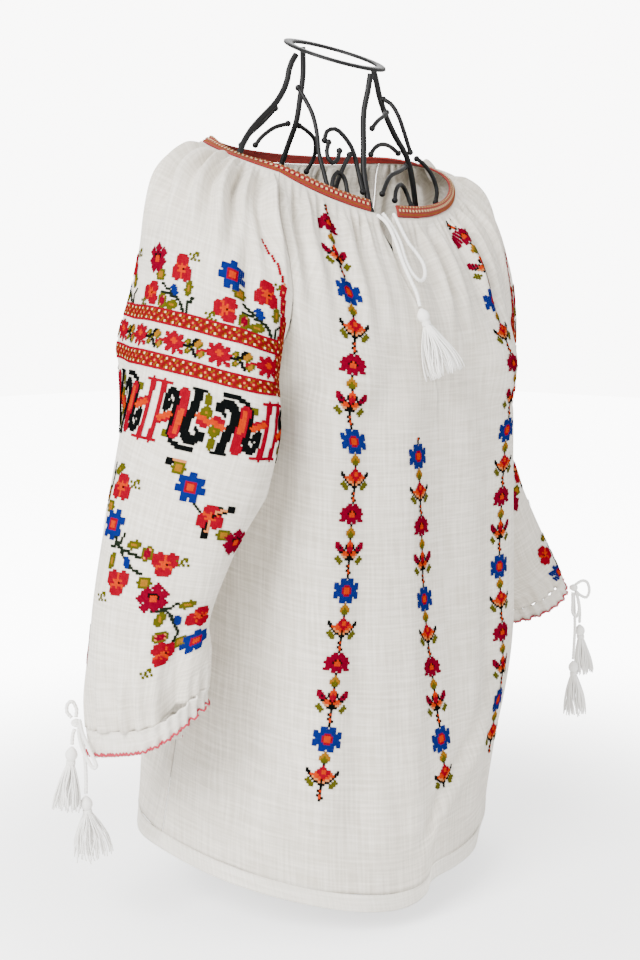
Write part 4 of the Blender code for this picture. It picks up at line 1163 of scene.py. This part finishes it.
print("stage: ties and tassels")
cordRoutes = {
    "tie_cord": (
        (-0.03, -0.0985, 0.606), (-0.0262, -0.106, 0.599), (-0.0245, -0.114, 0.585),
        (-0.0268, -0.125, 0.566), (-0.0262, -0.132, 0.553), (-0.0244, -0.1385, 0.54),
        (-0.025, -0.143, 0.5282),
    ),
    "tie_loop": (
        (-0.0085, -0.0985, 0.6075), (-0.0105, -0.107, 0.597), (-0.008, -0.115, 0.5825),
        (-0.003, -0.1205, 0.573), (-0.0008, -0.1265, 0.563), (-0.006, -0.132, 0.553),
        (-0.015, -0.134, 0.55), (-0.021, -0.13, 0.557), (-0.0218, -0.123, 0.569), (-0.019, -0.115, 0.583),
        (-0.02, -0.106, 0.597), (-0.0235, -0.099, 0.6075),
    ),
    "cuff_right_cord_short": (
        (-0.2708, 0.0217, 0.178), (-0.2718, 0.0227, 0.174), (-0.2721, 0.0235, 0.169),
        (-0.2722, 0.0237, 0.165),
    ),
    "cuff_right_cord_long": (
        (-0.2673, 0.0185, 0.178), (-0.2658, 0.0175, 0.168), (-0.2643, 0.0167, 0.15),
        (-0.2636, 0.0169, 0.135), (-0.2635, 0.0175, 0.122),
    ),
    "cuff_right_bow_up": (
        (-0.2688, 0.0222, 0.188), (-0.2678, 0.0227, 0.1945), (-0.2703, 0.0247, 0.201),
        (-0.2743, 0.0262, 0.199), (-0.2753, 0.0257, 0.193), (-0.2723, 0.0237, 0.188),
    ),
    "cuff_right_bow_down": (
        (-0.27, 0.017, 0.1815), (-0.2765, 0.008, 0.176), (-0.284, -0.007, 0.168), (-0.288, -0.023, 0.159),
        (-0.289, -0.03, 0.162), (-0.2865, -0.018, 0.172), (-0.28, -0.001, 0.181), (-0.2715, 0.0135, 0.187),
    ),
    "cuff_left_cord_short": (
        (0.305, -0.078, 0.229), (0.309, -0.079, 0.219), (0.313, -0.078, 0.207), (0.315, -0.0765, 0.195),
    ),
    "cuff_left_cord_long": (
        (0.301, -0.078, 0.229), (0.302, -0.079, 0.21), (0.3045, -0.078, 0.19), (0.3065, -0.076, 0.172),
        (0.3068, -0.075, 0.157),
    ),
    "cuff_left_bow_up": (
        (0.3065, -0.076, 0.2365), (0.314, -0.079, 0.24), (0.324, -0.079, 0.237), (0.331, -0.077, 0.227),
        (0.329, -0.075, 0.22), (0.32, -0.074, 0.223), (0.312, -0.074, 0.228), (0.307, -0.0745, 0.232),
    ),
    "cuff_left_bow_down": (
        (0.2978, -0.079, 0.23), (0.2953, -0.081, 0.22), (0.2958, -0.081, 0.209), (0.2988, -0.084, 0.205),
        (0.2998, -0.086, 0.213), (0.2993, -0.085, 0.222), (0.3003, -0.0825, 0.229),
    ),
}

bowKnots = {
    "cuff_right_knot": ((-0.2698, 0.0207, 0.1835), 0.0036),
    "cuff_left_knot": ((0.303, -0.0765, 0.234), 0.0036),
}

tassels = {
    "tie_tassel": ((-0.0252, -0.144, 0.5262), (-0.012, -0.162, 0.47), 0.016),
    "cuff_right_tassel_short": ((-0.2722, 0.0239, 0.1628), (-0.2753, 0.0282, 0.1085), 0.011),
    "cuff_right_tassel_long": ((-0.2635, 0.0179, 0.1198), (-0.2588, 0.0157, 0.0664), 0.016),
    "cuff_left_tassel_short": ((0.3153, -0.0762, 0.1928), (0.327, -0.075, 0.139), 0.009),
    "cuff_left_tassel_long": ((0.307, -0.0748, 0.1548), (0.314, -0.074, 0.097), 0.011),
}

cordSize = {"radius": 0.0017, "pitch": 0.0062, "sides": 12, "step": 0.0007}
tasselSize = {"strands": 80, "strand": 0.00060, "head": 0.0052, "neck": 0.0030, "points": 9}
whiteCord, whiteTree, whiteShader = newMaterial(
    "white twisted cotton", (0.86, 0.845, 0.81), 0.7, {"Sheen Weight": 0.2})
bumped(whiteTree, whiteShader, grain(whiteTree, 1500.0), 0.5, 0.0002)


def carried(line):
    # directions square to a line, carried along it without twist
    tangents = np.gradient(line, axis=0)
    tangents /= norms(tangents)
    side = np.cross(tangents[0], [0.31, 0.22, 0.92])
    sides = []
    for tangent in tangents:
        side = side - tangent * side.dot(tangent)
        side /= np.linalg.norm(side)
        sides.append(side)
    sides = np.array(sides)
    return sides, np.cross(tangents, sides)


def sweep(line, radii, twist=None, sides=12):
    # vertices and faces of a closed tube; twist gives it the two plies of a cord
    first, second = carried(line)
    angle = np.linspace(0, 2 * np.pi, sides, endpoint=False)
    radii = np.broadcast_to(radii, (len(line),))
    plies = np.ones((len(line), sides))
    if twist is not None:
        plies = 0.66 + 0.34 * np.abs(np.cos(angle[None] - twist[:, None])) ** 0.8
    across = first[:, None] * np.cos(angle)[None, :, None] + second[:, None] * np.sin(angle)[None, :, None]
    rings = line[:, None] + across * (radii[:, None] * plies)[..., None]
    index = np.arange(len(line) * sides).reshape(len(line), sides)
    turned = np.roll(index, -1, axis=1)
    quads = np.stack([index[:-1], turned[:-1], turned[1:], index[1:]], -1).reshape(-1, 4).tolist()
    return rings.reshape(-1, 3), quads + [index[0][::-1].tolist(), index[-1].tolist()]


def meshFrom(name, parts, material, stands):
    vertices, faces, base = [], [], 0
    for points, polygons in parts:
        vertices.append(points)
        faces += [[base + n for n in polygon] for polygon in polygons]
        base += len(points)
    shape = bmesh.new()
    plain = bpy.data.meshes.new(name)
    plain.from_pydata(np.concatenate(vertices).tolist(), [], faces)
    shape.from_mesh(plain)
    bpy.data.meshes.remove(plain)
    bmesh.ops.recalc_face_normals(shape, faces=shape.faces)
    return link(bpy.data.objects.new(name, meshOf(name, shape, material)), stands)


def cordParts(line):
    along = np.linspace(0, rowLength(line), len(line))
    return sweep(line, cordSize["radius"], 2 * np.pi * along / cordSize["pitch"], cordSize["sides"])


def tasselParts(top, bottom, flare, seed):
    top, bottom = np.array(top), np.array(bottom)
    axis = bottom - top
    length = np.linalg.norm(axis)
    random = np.random.default_rng(seed)
    head, neck = tasselSize["head"], tasselSize["neck"]
    shares = np.linspace(0, 2.6 * head / length, 14)
    profile = head * np.sin(np.pi * np.clip(shares / shares[-1], 0.03, 0.80)) ** 0.6
    profile[-3:] = neck
    parts = [sweep(top + axis * shares[:, None], profile, None, 16)]
    waist = shares[-1]
    first, second = (sides[0] for sides in carried(np.array([top, bottom])))

    def outward(turn):
        return first * np.cos(turn)[:, None] + second * np.sin(turn)[:, None]

    turn = np.linspace(0, 2 * np.pi, 24)
    for n in range(3):
        binding = top + axis * (waist + (n - 1) * 0.0011 / length)
        parts.append(sweep(binding + (neck + 0.0005) * outward(turn), 0.0006, None, 6))
    for n in range(tasselSize["strands"]):
        angle = random.uniform(0, 2 * np.pi)
        reach = math.sqrt(random.uniform(0.02, 1.0))
        bend = random.uniform(-0.35, 0.35)
        t = np.linspace(0, 1, tasselSize["points"])
        out = neck * 0.8 * reach + (1.15 * flare * reach - neck * 0.8 * reach) * (1 - (1 - t) ** 1.7)
        swing = angle + bend * t + 0.12 * np.sin(6 * t + angle * 3)
        place = waist + (1 - waist) * t * random.uniform(0.90, 1.0)
        line = top + axis * place[:, None] + out[:, None] * outward(swing)
        parts.append(sweep(line, tasselSize["strand"] * np.linspace(1.0, 0.85, len(t)), None, 5))
    return parts


def knotParts(centre, radius):
    centre = np.array(centre) - middle
    shares = np.linspace(-1, 1, 12)
    line = centre + np.array([0, 0, 1.0]) * (radius * shares)[:, None]
    parts = [sweep(line, radius * np.sqrt(np.clip(1.04 - shares ** 2, 0.05, 1)), None, 14)]
    turn = np.linspace(0, 2 * np.pi * 0.97, 30)
    for lean in (0.5, -0.7):
        loop = np.stack([np.cos(turn), np.sin(turn), lean * np.sin(turn + 0.6)], 1)
        loop *= (radius * 0.95) / norms(loop)
        parts.append(sweep(centre + loop, 0.0011, None, 8))
    return parts


for name, (centre, radius) in bowKnots.items():
    meshFrom(name + "Tied", knotParts(centre, radius), whiteCord, [name])
for seed, (name, (top, bottom, flare)) in enumerate(tassels.items()):
    parts = tasselParts(np.array(top) - middle, np.array(bottom) - middle, flare, seed)
    stands = [name]
    if name == "cuff_right_tassel_short":
        # this end of the cord is too short to be a piece of its own
        parts.append(cordParts(smoothRoute(cordRoutes["cuff_right_cord_short"], cordSize["step"]) - middle))
        stands.append("cuff_right_cord_short")
    meshFrom(name + "Strands", parts, whiteCord, stands)
# what each cord ends in, and the pieces that hang on it
cordEnds = {
    "tie_cord": ("knot", ["tie_tassel"]),
    "tie_loop": ("object", []),
    "cuff_right_cord_long": (
        "knot", ["cuff_right_tassel_long", "cuff_right_tassel_short", "cuff_right_knot"]),
    "cuff_right_bow_up": ("object", []),
    "cuff_right_bow_down": ("object", []),
    "cuff_left_cord_short": ("knot", ["cuff_left_tassel_short"]),
    "cuff_left_cord_long": ("knot", ["cuff_left_tassel_long", "cuff_left_knot"]),
    "cuff_left_bow_up": ("object", []),
    "cuff_left_bow_down": ("object", []),
}
for name, (farEnd, pieces) in cordEnds.items():
    line = smoothRoute(cordRoutes[name], cordSize["step"]) - middle
    made = meshFrom(name + "Twisted", [cordParts(line)], whiteCord, [name])
    print(name, round(rowLength(line), 4))

# crimson edging along the rim of each cuff
edging = newMaterial("crimson edging thread", (0.36, 0.006, 0.03), 0.6)[0]
for sideName, surface in cuffSurfaces.items():
    length = surface["lengths"][-1]
    count = int(length / trims["zigzag"]) * 4
    share = np.linspace(0.004, 0.996, count)
    row = 11.985 - 0.022 * np.abs((np.arange(count) % 4) - 2)
    places, normals = pointAt(surface, share, row)
    line = places - middle + normals * 0.0011
    meshFrom(sideName + "CuffEdging", [sweep(line, 0.00085, None, 6)], edging, [])
